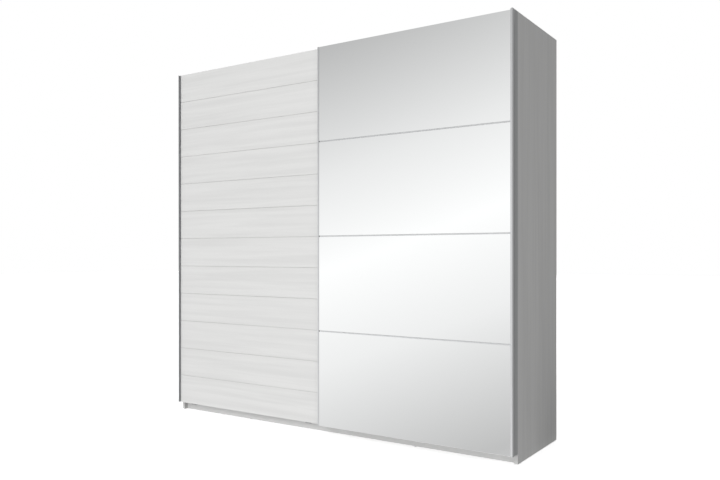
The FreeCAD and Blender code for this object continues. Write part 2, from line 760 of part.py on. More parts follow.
def plate_screws(door, back, play=0.0):
    """Screws that hold a door's carriers and bottom guides, driven forwards into its back."""
    screws = []
    surface = number(f"{back} + steel")
    lower_row = number("door_top - plate_height + plate_screw_inset")
    upper_row = lower_row + number("plate_screw_rows")
    for middle in door_spots(door, "carrier_inset"):
        for across in (-1, 1):
            for height in (lower_row, upper_row):
                spot = Vector(middle + across * number("wheel_spread"), surface, height)
                screws.append(screw(spot, FORWARDS, play))
    low = number("door_bottom + guide_plate / 2")
    for middle in door_spots(door, "guide_inset"):
        for across in (-1, 1):
            spot = Vector(middle + across * number("guide_width / 4"), surface, low)
            screws.append(screw(spot, FORWARDS, play))
    return screws


def carriers(door, back, wheel_line, arm_top):
    """Bent steel carriers: a plate on the door's back, an arm over the top and an ear for two wheels."""
    ear_front = f"{wheel_line} - {back} - ear_offset - steel"
    plate_bottom = "door_top - plate_height"
    bore = number("axle_radius")
    through = number("carcass_depth")
    corners = [
        ("0", plate_bottom),
        ("steel", plate_bottom),
        ("steel", f"{arm_top} - steel"),
        (ear_front, f"{arm_top} - steel"),
        (ear_front, "ear_bottom"),
        (f"{ear_front} + steel", "ear_bottom"),
        (f"{ear_front} + steel", arm_top),
        ("0", arm_top),
    ]
    for index, middle in enumerate(door_spots(door, "carrier_inset"), start=1):
        inset = "carrier_inset" if index == 1 else "door_width - carrier_inset"
        start = (f"{door} + {inset} - carrier_width / 2", back, "0")
        label = f"{door.split('_')[0]}_carrier_{index}"
        blank = padded(label, start, "YZ_Plane", corners, "carrier_width")
        pieces.remove(blank)
        axle_holes = []
        for across in (middle - number("wheel_spread"), middle + number("wheel_spread")):
            low_end = Vector(across, number(back), number("wheel_height"))
            axle_holes.append(Part.makeCylinder(bore, through, low_end, BACKWARDS))
        bored(label, blank, axle_holes + plate_screws(door, back, PLAY))


def axles_and_wheels(door, wheel_line):
    """Two grooved nylon wheels on each carrier, each turning on a riveted axle."""
    side = door.split("_")[0]
    middles = door_spots(door, "carrier_inset")
    lines = [middle + sign * number("wheel_spread") for middle in middles for sign in (-1, 1)]
    radius = number("axle_radius")
    half = number("wheel_width / 2")
    plate = number("steel")
    head = number("rivet_head")
    collar = number("collar_radius")
    near = number("ear_offset + steel - wheel_side_play") - half
    far = number("ear_offset + steel + wheel_side_play") + half
    profile = [(-head, radius), (plate, radius), (plate, collar), (near, collar)]
    profile += [(near, radius), (far, radius), (far, collar), (far + head, collar)]
    ear = number(f"{wheel_line} - ear_offset - steel")
    height = number("wheel_height")
    group(f"{side}_axles", [spindle(Vector(x, ear, height), BACKWARDS, profile) for x in lines])
    section = [
        ("axle_radius + axle_clearance", "-wheel_width / 2"),
        ("wheel_rim", "-wheel_width / 2"),
        ("wheel_rim", "-rib_width / 2 - wheel_gap - wheel_flare"),
        ("wheel_tread", "-rib_width / 2 - wheel_gap"),
        ("wheel_tread", "rib_width / 2 + wheel_gap"),
        ("wheel_rim", "rib_width / 2 + wheel_gap + wheel_flare"),
        ("wheel_rim", "wheel_width / 2"),
        ("axle_radius + axle_clearance", "wheel_width / 2"),
    ]
    insets = ["carrier_inset - wheel_spread", "carrier_inset + wheel_spread"]
    insets += ["door_width - carrier_inset - wheel_spread", "door_width - carrier_inset + wheel_spread"]
    for index, inset in enumerate(insets, start=1):
        turned(f"{side}_wheel_{index}", (f"{door} + {inset}", wheel_line, "wheel_height"), section)


def left_guides():
    """Plastic guides behind the left door with a pin in the front slot of the guide rail."""
    corners = [
        ("0", "inner_foot"),
        ("inner_slot - inner_back + pin_radius", "inner_foot"),
        ("inner_slot - inner_back + pin_radius", "inner_foot + foot_thick"),
        ("steel", "inner_foot + foot_thick"),
        ("steel", "door_bottom + guide_plate"),
        ("0", "door_bottom + guide_plate"),
    ]
    bottom_guides("left_door", "inner_back", corners, "inner_slot", "inner_foot")


def right_guides():
    """Steel guides behind the right door whose feet pass under the left door to the rear slot."""
    slope_end = "inner_back - outer_back - slope_end"
    corners = [
        ("0", "door_bottom - heel_low"),
        (slope_end, "outer_foot"),
        ("outer_slot - outer_back + pin_radius", "outer_foot"),
        ("outer_slot - outer_back + pin_radius", "outer_foot + foot_thick"),
        (slope_end, "outer_foot + foot_thick"),
        ("steel", "door_bottom - heel_high"),
        ("steel", "door_bottom + guide_plate"),
        ("0", "door_bottom + guide_plate"),
    ]
    bottom_guides("right_door", "outer_back", corners, "outer_slot", "outer_foot")


def bottom_guides(door, back, corners, slot, foot):
    """Two guides of one door, each a bent foot with an upright pin at its end."""
    side = door.split("_")[0]
    for index, middle in enumerate(door_spots(door, "guide_inset"), start=1):
        inset = "guide_inset" if index == 1 else "door_width - guide_inset"
        start = (f"{door} + {inset} - guide_width / 2", back, "0")
        label = f"{side}_guide_{index}"
        blank = padded(label, start, "YZ_Plane", corners, "guide_width")
        pieces.remove(blank)
        blank.Label = label + "_foot"
        pin = document.addObject("Part::Cylinder", label + "_pin")
        bind(pin, Radius="pin_radius", Height=f"pin_top - {foot}")
        place_at(pin, (f"{door} + {inset}", slot, foot))
        whole = document.addObject("Part::Fuse", label + "_whole")
        whole.Base = blank
        whole.Tool = pin
        bored(label, whole, plate_screws(door, back, PLAY))


def mirrored(corners, turn_over):
    """Turn an outline over left to right where a profile sits on a right-hand edge."""
    if not turn_over:
        return corners
    return [(f"-({across})", up) for across, up in reversed(corners)]


def edge_profiles(door, back, face, total, handle_top):
    """Handle profile on a door's outer edge and a plain profile on its overlapping edge."""
    side = door.split("_")[0]
    on_right = side == "right"
    tongue_low = f"-({total}) / 2 - tongue_thick / 2"
    tongue_high = f"-({total}) / 2 + tongue_thick / 2"
    nose_back = f"-({total}) - handle_projection + handle_lip"
    handle = [
        ("0", "0"),
        ("0", f"-({total}) - handle_projection"),
        ("handle_nose", f"-({total}) - handle_projection"),
        ("handle_nose", nose_back),
        ("handle_wall", nose_back),
        ("handle_wall", f"-({total}) - flange_proud"),
        ("handle_flange", f"-({total}) - flange_proud"),
        ("handle_flange", f"-({total})"),
        ("handle_wall", f"-({total})"),
        ("handle_wall", tongue_low),
        ("handle_wall + tongue_length", tongue_low),
        ("handle_wall + tongue_length", tongue_high),
        ("handle_wall", tongue_high),
        ("handle_wall", "0"),
    ]
    edge = [
        ("0", "0"),
        ("0", f"-({total}) - flange_proud"),
        ("edge_flange", f"-({total}) - flange_proud"),
        ("edge_flange", f"-({total})"),
        ("edge_wall", f"-({total})"),
        ("edge_wall", tongue_low),
        ("edge_wall + tongue_length", tongue_low),
        ("edge_wall + tongue_length", tongue_high),
        ("edge_wall", tongue_high),
        ("edge_wall", "0"),
    ]
    handle_x = f"{door} + door_width" if on_right else door
    edge_x = door if on_right else f"{door} + door_width"
    height = f"{handle_top} - door_bottom"
    padded(f"{side}_handle", (handle_x, back, "door_bottom"), "XY_Plane", mirrored(handle, on_right), height)
    corner = (edge_x, back, "door_bottom")
    padded(f"{side}_edge_profile", corner, "XY_Plane", mirrored(edge, not on_right), "door_height")


def tongue_slots(door, back, total):
    """Slots in a door's two edges for the tongues of its profiles."""
    play = number("tongue_play")
    thick = number("tongue_thick") + 2 * play
    deep = number(f"{back} - ({total}) / 2") - thick / 2
    handle_reach = number("handle_wall + tongue_length") + play
    edge_reach = number("edge_wall + tongue_length") + play
    reaches = [handle_reach, edge_reach] if door == "left_door" else [edge_reach, handle_reach]
    height = number("door_height")
    starts = [number(door), number(f"{door} + door_width") - reaches[1]]
    slots = []
    for start, reach in zip(starts, reaches):
        slot = Part.makeBox(reach, thick, height)
        slot.translate(Vector(start, deep, number("door_bottom")))
        slots.append(slot)
    return slots


def closing_strip():
    """Angle on the right side panel's front edge that closes the gap behind the right door's end."""
    reach = "front - outer_back - strip_gap"
    corners = [
        ("0", "0"),
        ("0", f"-({reach})"),
        ("strip_wall", f"-({reach})"),
        ("strip_wall", "-strip_wall"),
        ("board", "-strip_wall"),
        ("board", "0"),
    ]
    height = "overall_height - door_bottom"
    padded("closing_strip", ("right", "front", "door_bottom"), "XY_Plane", mirrored(corners, True), height)


# ---------------------------------------------------------------- left door

def left_door():
    """Panel with level grooves between its boards, and everything that hangs or guides it."""
    width = "door_width - handle_wall - edge_wall"
    label = "left_door_panel"
    corner = ("left_door + handle_wall", "inner_face", "door_bottom")
    corners = [("0", "0"), (width, "0"), (width, "door_height"), ("0", "door_height")]
    body = document.addObject("PartDesign::Body", label)
    place_at(body, corner)
    pad = body.newObject("PartDesign::Pad", label + "_pad")
    pad.Profile = outline(body, "XZ_Plane", corners)
    bind(pad, Length="inner_board")
    pad.Reversed = True
    document.recompute()
    low = "row_height - groove_width / 2"
    high = "row_height + groove_width / 2"
    cut = body.newObject("PartDesign::Pocket", label + "_groove")
    cut.Profile = outline(body, "XZ_Plane", [("0", low), (width, low), (width, high), ("0", high)])
    bind(cut, Length="groove_depth")
    document.recompute()
    rows = body.newObject("PartDesign::LinearPattern", label + "_grooves")
    rows.Originals = [cut]
    rows.Direction = (cut.Profile[0], ["V_Axis"])
    bind(rows, Length="row_height * (board_rows - 2)", Occurrences="board_rows - 1")
    body.Tip = rows
    document.recompute()
    groove = number(f"groove_width * groove_depth * ({width})")
    removed = pad.Shape.Volume - body.Shape.Volume
    if abs(removed - groove * (number("board_rows") - 1)) > groove / 2:
        raise RuntimeError("the grooves didn't cut the left door's panel")
    holes = tongue_slots("left_door", "inner_back", "inner_board")
    holes += plate_screws("left_door", "inner_back", PLAY)
    bored(label, body, holes)
    edge_profiles("left_door", "inner_back", "inner_face", "inner_board", "door_top")
    carriers("left_door", "inner_back", "inner_wheel", "inner_arm_top")
    axles_and_wheels("left_door", "inner_wheel")
    left_guides()
    group("left_screws", plate_screws("left_door", "inner_back"))


# ---------------------------------------------------------------- right door

def right_door():
    """Backing board with four mirror panes, strips between them, and its hardware."""
    total = "mirror_glass + outer_board"
    width = "door_width - handle_wall - edge_wall"
    start = "right_door + edge_wall"
    label = "right_door_board"
    corner = (start, "outer_back - outer_board", "door_bottom")
    blank = box(label, corner, (width, "outer_board", "door_height"))
    holes = tongue_slots("right_door", "outer_back", total) + plate_screws("right_door", "outer_back", PLAY)
    bored(label, blank, holes)
    rows = int(number("pane_rows"))
    half_gap = "divider_width / 2 + divider_play"
    for row in range(rows):
        low = f"door_bottom + {row} * pane_pitch" + ("" if row == 0 else f" + {half_gap}")
        high = f"door_bottom + {row + 1} * pane_pitch" + ("" if row == rows - 1 else f" - ({half_gap})")
        size = (width, "mirror_glass", f"({high}) - ({low})")
        name = f"mirror_pane_{row + 1}"
        keep(box(name, (start, "outer_face", low), size), name)
    dividers(rows)
    edge_profiles("right_door", "outer_back", "outer_face", total, "overall_height")
    carriers("right_door", "outer_back", "outer_wheel", "overall_height")
    axles_and_wheels("right_door", "outer_wheel")
    right_guides()
    group("right_screws", plate_screws("right_door", "outer_back"))


def dividers(rows):
    """Flat strips between the panes, each with a cap at the end beside the left door."""
    first = number("right_door + edge_flange + divider_play")
    last = number("right_door + door_width - handle_flange - divider_play")
    cap = number("cap_length")
    tall = number("divider_width")
    deep = number("mirror_glass + divider_proud")
    front = number("outer_face - divider_proud")
    strips, caps = [], []
    for row in range(1, rows):
        low = number(f"door_bottom + {row} * pane_pitch") - tall / 2
        strip = Part.makeBox(last - first - cap, deep, tall)
        strip.translate(Vector(first + cap, front, low))
        strips.append(strip)
        end = Part.makeBox(cap, deep, tall)
        end.translate(Vector(first, front, low))
        caps.append(end)
    group("divider_strips", strips)
    group("divider_caps", caps)


# ---------------------------------------------------------------- build, check and write

def check_and_write():
    """Refuse anything that failed, then write each sub-part to its own file."""
    document.recompute()
    for thing in document.Objects:
        faults = [state for state in thing.State if state in ("Invalid", "Error")]
        if faults:
            raise RuntimeError(f"{thing.Label} is {faults}")
    os.makedirs("parts", exist_ok=True)
    for piece in pieces:
        shape = piece.Shape
        if shape.isNull() or not shape.isValid() or not shape.Solids:
            raise RuntimeError(f"{piece.Label} has no sound solid")
        shape.exportStep(f"parts/{piece.Label}.step")
        print(f"{piece.Label:24s} {len(shape.Solids):3d} solids {shape.Volume / 1000:12.1f} cm3")
    print(len(pieces), "pieces")


side_panels()
centre_partition()
top_and_bottom_panels()
back_sheets()
plinth()
floor_glides()
shelves_and_rails()
fittings()
running_track()
guide_rail()
track_stops()
left_door()
right_door()
closing_strip()
check_and_write()
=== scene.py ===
"""Finish and fine detail of a two-door sliding wardrobe, dressed over its fixed frame.

The left door is a pale board with level grooves, the right door carries four silvered panes, and
both hang from wheels on a double track. Every length is in metres unless its name ends in _mm.
+X runs to the right of someone who faces the doors, +Y to the back and +Z up.
"""
import logging
import math
from contextlib import contextmanager
from dataclasses import dataclass
from enum import Enum
from typing import Any, Callable, Iterator, Sequence

import bmesh
import bpy
from mathutils import Matrix, Vector


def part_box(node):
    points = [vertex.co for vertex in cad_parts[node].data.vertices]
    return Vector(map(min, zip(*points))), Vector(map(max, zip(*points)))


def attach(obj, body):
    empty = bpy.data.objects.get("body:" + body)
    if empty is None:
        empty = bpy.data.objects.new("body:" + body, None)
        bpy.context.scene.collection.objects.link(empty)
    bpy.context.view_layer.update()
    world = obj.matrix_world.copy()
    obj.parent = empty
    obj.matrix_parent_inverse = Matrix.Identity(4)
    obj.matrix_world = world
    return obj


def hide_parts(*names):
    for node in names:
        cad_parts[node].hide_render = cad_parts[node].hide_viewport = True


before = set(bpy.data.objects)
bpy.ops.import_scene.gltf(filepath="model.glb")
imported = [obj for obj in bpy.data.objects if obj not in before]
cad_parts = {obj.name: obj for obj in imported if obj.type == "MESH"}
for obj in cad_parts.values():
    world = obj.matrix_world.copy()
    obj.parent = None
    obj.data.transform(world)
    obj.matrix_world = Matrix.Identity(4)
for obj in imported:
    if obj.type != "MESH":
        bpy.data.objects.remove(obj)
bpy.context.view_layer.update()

MM = 0.001
# Corners this near each other are one corner, and faces this level with each other one face.
WELD = 0.001 * MM
FLAT_DEGREES = 0.5
# A place this near a plane lies in it: the first on a sawn face, the second beside a bend or a round.
TOUCH = 0.01 * MM
NEAR = 0.1 * MM
# A face or an edge points a way when its unit vector reaches this far along it.
FACING = 0.9
# Edges sharper than this are broken with a bevel.
ARRIS_DEGREES = 30.0
WHITE = (1.0, 1.0, 1.0, 1.0)
LOG = logging.getLogger("wardrobe")

Tree = bpy.types.NodeTree
Node = bpy.types.Node
Socket = bpy.types.NodeSocket
Colour = tuple[float, float, float, float]
# A test of a place and a direction: a face's centre, an edge's middle or a corner.
Pick = Callable[[Vector, Vector], bool]


class Axis(Enum):
    """A direction of the frame that a grain, a drawn line or a spindle runs along."""

    X = 0
    Y = 1
    Z = 2

    def unit(self) -> Vector:
        """Give the direction as a vector of length one."""
        return Vector(1.0 if index == self.value else 0.0 for index in range(3))


class Part(Enum):
    """What is picked on a mesh, by the name that its list has there."""

    FACE = "faces"
    EDGE = "edges"
    VERT = "verts"


class Side(Enum):
    """The two doors, each with its own body and its own sign across the wardrobe."""

    LEFT = "left"
    RIGHT = "right"

    @property
    def body(self) -> str:
        """Name of the moving body that the door's pieces ride on."""
        return f"{self.value}_door"

    @property
    def inward(self) -> float:
        """Way from the door's handle edge towards its middle, along X."""
        return 1.0 if self is Side.LEFT else -1.0


# ------------------------------------------------------------------ colours and nodes


def linear(code: str) -> Colour:
    """Turn an sRGB hex colour into linear light.

    Args:
        code: Six hex digits after a number sign.

    Returns:
        Red, green, blue and an alpha of one.
    """
    parts = [int(code[start:start + 2], 16) / 255 for start in (1, 3, 5)]
    light = [part / 12.92 if part <= 0.04045 else ((part + 0.055) / 1.055) ** 2.4 for part in parts]
    return light[0], light[1], light[2], 1.0


def feed(tree: Tree, node: Node, inputs: dict[str | int, Any]) -> None:
    """Set a node's inputs.

    Args:
        tree: Node tree that the node is in.
        node: The node.
        inputs: Value or linked socket for each input, by name or number.
    """
    for name, value in inputs.items():
        if isinstance(value, Socket):
            tree.links.new(value, node.inputs[name])
        else:
            node.inputs[name].default_value = value


def add_node(
    tree: Tree, kind: str, inputs: dict[str | int, Any] | None = None,
    stops: Sequence[tuple[float, Colour]] = (), **settings: Any,
) -> Node:
    """Add one node with its settings, its inputs and a ramp's stops.

    Args:
        tree: Node tree that the node goes into.
        kind: Blender's name for the node's type.
        inputs: Value or linked socket for each input, by name or number.
        stops: Places and colours of a colour ramp.
        settings: Properties of the node itself.

    Returns:
        The new node.
    """
    node = tree.nodes.new(kind)
    for name, value in settings.items():
        setattr(node, name, value)
    feed(tree, node, inputs or {})
    for index, (place, colour) in enumerate(stops):
        stop = node.color_ramp.elements[index] if index < 2 else node.color_ramp.elements.new(place)
        stop.position = place
        stop.color = colour
    return node


# ------------------------------------------------------------------ finishes


@dataclass(frozen=True)
class Finish:
    """What every finish shares: a name, and a material that is made once."""

    name: str

    def material(self) -> bpy.types.Material:
        """Give the finish's material, and make it the first time it is asked for.

        Returns:
            The material.
        """
        known = bpy.data.materials.get(self.name)
        if known:
            return known
        made = bpy.data.materials.new(self.name)
        made.use_nodes = True
        tree = made.node_tree
        tree.nodes.clear()
        shader = add_node(tree, "ShaderNodeBsdfPrincipled")
        add_node(tree, "ShaderNodeOutputMaterial", {"Surface": shader.outputs["BSDF"]})
        place = add_node(tree, "ShaderNodeTexCoord").outputs["Object"]
        self.build(tree, shader, place)
        return made

    def build(self, tree: Tree, shader: Node, place: Socket) -> None:
        """Join the finish's pattern to the shader.

        Args:
            tree: The material's node tree.
            shader: The shader that the pattern feeds.
            place: Object coordinates, in metres.
        """
        raise NotImplementedError

    def stretched(self, tree: Tree, place: Socket, along: Axis, long_mm: float, fine_mm: float) -> Socket:
        """Give coordinates in which one step is long along the grain and fine across it.

        Args:
            tree: The material's node tree.
            place: Object coordinates, in metres.
            along: Way the grain runs.
            long_mm: Length of a mark along the grain.
            fine_mm: Width of a mark across the grain.

        Returns:
            The scaled coordinates.
        """
        scale = [1 / (fine_mm * MM)] * 3
        scale[along.value] = 1 / (long_mm * MM)
        mapping = add_node(tree, "ShaderNodeMapping", {"Vector": place, "Scale": scale})
        return mapping.outputs["Vector"]


@dataclass(frozen=True)
class DecorBoard(Finish):
    """Melamine-faced particle board: printed ash decor paper pressed under a satin resin skin.

    The eye sees a pale, even face with long soft streaks of figure, short darker pores pressed in
    along the grain, and a low sheen that the pores break up.
    """

    pale: str = "#E7E7E6"
    dark: str = "#E0E0DF"
    along: Axis = Axis.Z
    roughness: float = 0.42
    figure_mm: float = 34.0
    figure_long_mm: float = 900.0
    pore_mm: float = 1.6
    pore_long_mm: float = 70.0
    pore_cover: float = 0.55
    pore_depth_mm: float = 0.15
    row: float = 0.0
    row_start: float = 0.0
    row_shift: tuple[float, float, float] = (7.0, 0.0, 3.0)

    def build(self, tree: Tree, shader: Node, place: Socket) -> None:
        """Draw the figure and the pores, shifted from one board to the next where there are rows.

        Args:
            tree: The material's node tree.
            shader: The shader that the pattern feeds.
            place: Object coordinates, in metres.
        """
        if self.row:
            place = self.shifted_by_row(tree, place)
        figure_place = self.stretched(tree, place, self.along, self.figure_long_mm, self.figure_mm)
        figure = add_node(
            tree, "ShaderNodeTexNoise",
            {"Vector": figure_place, "Scale": 1.0, "Detail": 3.0, "Roughness": 0.55, "Distortion": 0.35},
        )
        pore_place = self.stretched(tree, place, self.along, self.pore_long_mm, self.pore_mm)
        pores = add_node(
            tree, "ShaderNodeTexNoise", {"Vector": pore_place, "Scale": 1.0, "Detail": 2.0, "Roughness": 0.7}
        )
        figure_tone = add_node(
            tree, "ShaderNodeValToRGB", {"Fac": figure.outputs["Fac"]},
            stops=[(0.34, linear(self.dark)), (0.62, linear(self.pale))],
        )
        pore_mask = add_node(
            tree, "ShaderNodeMapRange",
            {"Value": pores.outputs["Fac"], "From Min": 0.56, "From Max": 0.74, "To Max": self.pore_cover},
        )
        tone = add_node(
            tree, "ShaderNodeMix",
            {0: pore_mask.outputs["Result"], 6: figure_tone.outputs["Color"], 7: linear(self.dark)},
            data_type="RGBA",
        )
        sheen = add_node(
            tree, "ShaderNodeMapRange",
            {"Value": pores.outputs["Fac"], "To Min": self.roughness - 0.06, "To Max": self.roughness + 0.12},
        )
        dents = add_node(
            tree, "ShaderNodeBump",
            {"Height": pores.outputs["Fac"], "Strength": 0.12, "Distance": self.pore_depth_mm * MM},
            invert=True,
        )
        feed(tree, shader, {
            "Base Color": tone.outputs[2], "Roughness": sheen.outputs["Result"],
            "Normal": dents.outputs["Normal"], "IOR": 1.5,
        })

    def shifted_by_row(self, tree: Tree, place: Socket) -> Socket:
        """Slide the pattern along each board of a row by its own amount, as separate boards would be.

        Args:
            tree: The material's node tree.
            place: Object coordinates, in metres.

        Returns:
            The shifted coordinates.
        """
        split = add_node(tree, "ShaderNodeSeparateXYZ", {"Vector": place})
        rows = add_node(
            tree, "ShaderNodeMapRange",
            {"Value": split.outputs["Z"], "From Min": self.row_start, "From Max": self.row_start + self.row},
            clamp=False,
        )
        index = add_node(tree, "ShaderNodeMath", {0: rows.outputs["Result"]}, operation="FLOOR")
        scatter = add_node(
            tree, "ShaderNodeTexWhiteNoise", {"W": index.outputs["Value"]}, noise_dimensions="1D"
        )
        shift = add_node(
            tree, "ShaderNodeVectorMath", {0: scatter.outputs["Color"], 1: self.row_shift},
            operation="MULTIPLY",
        )
        moved = add_node(
            tree, "ShaderNodeVectorMath", {0: place, 1: shift.outputs["Vector"]}, operation="ADD"
        )
        return moved.outputs["Vector"]


@dataclass(frozen=True)
class SilveredGlass(Finish):
    """Float glass silvered on its back: a sharp, faintly cool reflection with a trace of wiping."""

    tint: str = "#F7F8F8"
    wipe_long_mm: float = 260.0
    wipe_mm: float = 90.0
    haze: float = 0.03

    def build(self, tree: Tree, shader: Node, place: Socket) -> None:
        """Keep the face flat and vary only how clean it is.

        Args:
            tree: The material's node tree.
            shader: The shader that the pattern feeds.
            place: Object coordinates, in metres.
        """
        wiped = self.stretched(tree, place, Axis.X, self.wipe_long_mm, self.wipe_mm)
        wiping = add_node(tree, "ShaderNodeTexNoise", {"Vector": wiped, "Scale": 1.0, "Detail": 4.0})
        haze = add_node(tree, "ShaderNodeMapRange", {"Value": wiping.outputs["Fac"], "To Max": self.haze})
        feed(tree, shader, {
            "Base Color": linear(self.tint), "Roughness": haze.outputs["Result"], "Metallic": 1.0,
        })


@dataclass(frozen=True)
class GroundGlassEdge(Finish):
    """Edge of float glass ground with a fine belt: grey-green, dull and a little translucent."""

    tint: str = "#A9B6B0"
    scratch_long_mm: float = 30.0
    scratch_mm: float = 0.8
    low: float = 0.16
    high: float = 0.34

    def build(self, tree: Tree, shader: Node, place: Socket) -> None:
        """Give the belt's fine scratches along the edge.

        Args:
            tree: The material's node tree.
            shader: The shader that the pattern feeds.
            place: Object coordinates, in metres.
        """
        ground = self.stretched(tree, place, Axis.X, self.scratch_long_mm, self.scratch_mm)
        scratches = add_node(tree, "ShaderNodeTexNoise", {"Vector": ground, "Scale": 1.0, "Detail": 2.0})
        dull = add_node(
            tree, "ShaderNodeMapRange",
            {"Value": scratches.outputs["Fac"], "To Min": self.low, "To Max": self.high},
        )
        feed(tree, shader, {
            "Base Color": linear(self.tint), "Roughness": dull.outputs["Result"], "IOR": 1.52,
        })


@dataclass(frozen=True)
class DrawnMetal(Finish):
    """Metal drawn or extruded one way: fine lines along it that stretch the highlights across it."""

    tone: str = "#E6E7E8"
    shade: str = "#D9DADB"
    along: Axis = Axis.Z
    low: float = 0.26
    high: float = 0.44
    line_mm: float = 0.7
    depth_mm: float = 0.03
    line_long_mm: float = 180.0

    def build(self, tree: Tree, shader: Node, place: Socket) -> None:
        """Draw the lines into the tone, the roughness and a shallow bump.

        Args:
            tree: The material's node tree.
            shader: The shader that the pattern feeds.
            place: Object coordinates, in metres.
        """
        drawn = self.stretched(tree, place, self.along, self.line_long_mm, self.line_mm)
        lines = add_node(tree, "ShaderNodeTexNoise", {"Vector": drawn, "Scale": 1.0, "Detail": 3.0})
        tone = add_node(
            tree, "ShaderNodeValToRGB", {"Fac": lines.outputs["Fac"]},
            stops=[(0.35, linear(self.shade)), (0.65, linear(self.tone))],
        )
        rough = add_node(
            tree, "ShaderNodeMapRange",
            {"Value": lines.outputs["Fac"], "To Min": self.low, "To Max": self.high},
        )
        bump = add_node(
            tree, "ShaderNodeBump",
            {"Height": lines.outputs["Fac"], "Strength": 0.2, "Distance": self.depth_mm * MM},
        )
        feed(tree, shader, {
            "Base Color": tone.outputs["Color"], "Roughness": rough.outputs["Result"],
            "Normal": bump.outputs["Normal"], "Metallic": 1.0,
        })


@dataclass(frozen=True)
class MottledMetal(Finish):
    """Zinc, plated or cast: a spangled grey whose crystals turn the light a little each."""

    tone: str = "#C6C9CC"
    shade: str = "#A4A8AC"
    low: float = 0.22
    high: float = 0.42
    spangle_mm: float = 3.0

    def build(self, tree: Tree, shader: Node, place: Socket) -> None:
        """Spread cells of slightly different tone and gloss.

        Args:
            tree: The material's node tree.
            shader: The shader that the pattern feeds.
            place: Object coordinates, in metres.
        """
        scaled = self.stretched(tree, place, Axis.X, self.spangle_mm, self.spangle_mm)
        cells = add_node(tree, "ShaderNodeTexVoronoi", {"Vector": scaled, "Scale": 1.0})
        grey = add_node(tree, "ShaderNodeRGBToBW", {"Color": cells.outputs["Color"]})
        tone = add_node(
            tree, "ShaderNodeValToRGB", {"Fac": grey.outputs["Val"]},
            stops=[(0.2, linear(self.shade)), (0.8, linear(self.tone))],
        )
        rough = add_node(
            tree, "ShaderNodeMapRange",
            {"Value": grey.outputs["Val"], "To Min": self.low, "To Max": self.high},
        )
        feed(tree, shader, {
            "Base Color": tone.outputs["Color"], "Roughness": rough.outputs["Result"], "Metallic": 1.0,
        })


@dataclass(frozen=True)
class MouldedPlastic(Finish):
    """Plastic or rubber moulded in an eroded tool: even colour under a fine matt grain."""

    tone: str = "#DCDCD8"
    shade: str = "#CFCFCB"
    roughness: float = 0.48
    grain_mm: float = 0.5
    grain_depth_mm: float = 0.05
    flow_long_mm: float = 20.0
    flow_mm: float = 8.0

    def build(self, tree: Tree, shader: Node, place: Socket) -> None:
        """Raise the tool's grain and let the colour drift a little with the flow.

        Args:
            tree: The material's node tree.
            shader: The shader that the pattern feeds.
            place: Object coordinates, in metres.
        """
        eroded = self.stretched(tree, place, Axis.X, self.grain_mm, self.grain_mm)
        grain = add_node(tree, "ShaderNodeTexNoise", {"Vector": eroded, "Scale": 1.0})
        flowed = self.stretched(tree, place, Axis.Z, self.flow_long_mm, self.flow_mm)
        flow = add_node(tree, "ShaderNodeTexNoise", {"Vector": flowed, "Scale": 1.0, "Detail": 2.0})
        tone = add_node(
            tree, "ShaderNodeValToRGB", {"Fac": flow.outputs["Fac"]},
            stops=[(0.35, linear(self.shade)), (0.65, linear(self.tone))],
        )
        rough = add_node(
            tree, "ShaderNodeMapRange",
            {"Value": grain.outputs["Fac"], "To Min": self.roughness - 0.05, "To Max": self.roughness + 0.1},
        )
        bump = add_node(
            tree, "ShaderNodeBump",
            {"Height": grain.outputs["Fac"], "Strength": 0.25, "Distance": self.grain_depth_mm * MM},
        )
        feed(tree, shader, {
            "Base Color": tone.outputs["Color"], "Roughness": rough.outputs["Result"],
            "Normal": bump.outputs["Normal"],
        })


@dataclass(frozen=True)
class PressedFibre(Finish):
    """Hardboard or thin fibreboard: pressed fibres that show as small pale and dark flecks."""

    tone: str = "#CFCDC9"
    shade: str = "#B9B6B1"
    fleck_mm: float = 1.8
    fleck_depth_mm: float = 0.08
    drift_long_mm: float = 400.0
    drift_mm: float = 250.0

    def build(self, tree: Tree, shader: Node, place: Socket) -> None:
        """Scatter the flecks over a slow drift of tone.

        Args:
            tree: The material's node tree.
            shader: The shader that the pattern feeds.
            place: Object coordinates, in metres.
        """
        fibres = self.stretched(tree, place, Axis.X, 2.5 * self.fleck_mm, self.fleck_mm)
        flecks = add_node(
            tree, "ShaderNodeTexNoise", {"Vector": fibres, "Scale": 1.0, "Detail": 5.0, "Roughness": 0.7}
        )
        drifted = self.stretched(tree, place, Axis.Z, self.drift_long_mm, self.drift_mm)
        drift = add_node(tree, "ShaderNodeTexNoise", {"Vector": drifted, "Scale": 1.0})
        blend = add_node(
            tree, "ShaderNodeMath", {0: flecks.outputs["Fac"], 1: 0.7, 2: 0.15}, operation="MULTIPLY_ADD"
        )
        both = add_node(
            tree, "ShaderNodeMath", {0: drift.outputs["Fac"], 1: 0.3, 2: blend.outputs["Value"]},
            operation="MULTIPLY_ADD",
        )
        tone = add_node(
            tree, "ShaderNodeValToRGB", {"Fac": both.outputs["Value"]},
            stops=[(0.45, linear(self.shade)), (0.8, linear(self.tone))],
        )
        bump = add_node(
            tree, "ShaderNodeBump",
            {"Height": flecks.outputs["Fac"], "Strength": 0.2, "Distance": self.fleck_depth_mm * MM},
        )
        feed(tree, shader, {
            "Base Color": tone.outputs["Color"], "Normal": bump.outputs["Normal"], "Roughness": 0.62,
        })


# Printed ash decor on particle board: pale and even, with faint long streaks along each board.
DECOR_UPRIGHT = DecorBoard("decor_board_upright_grain", along=Axis.Z)
DECOR_LEVEL = DecorBoard("decor_board_level_grain", along=Axis.X)
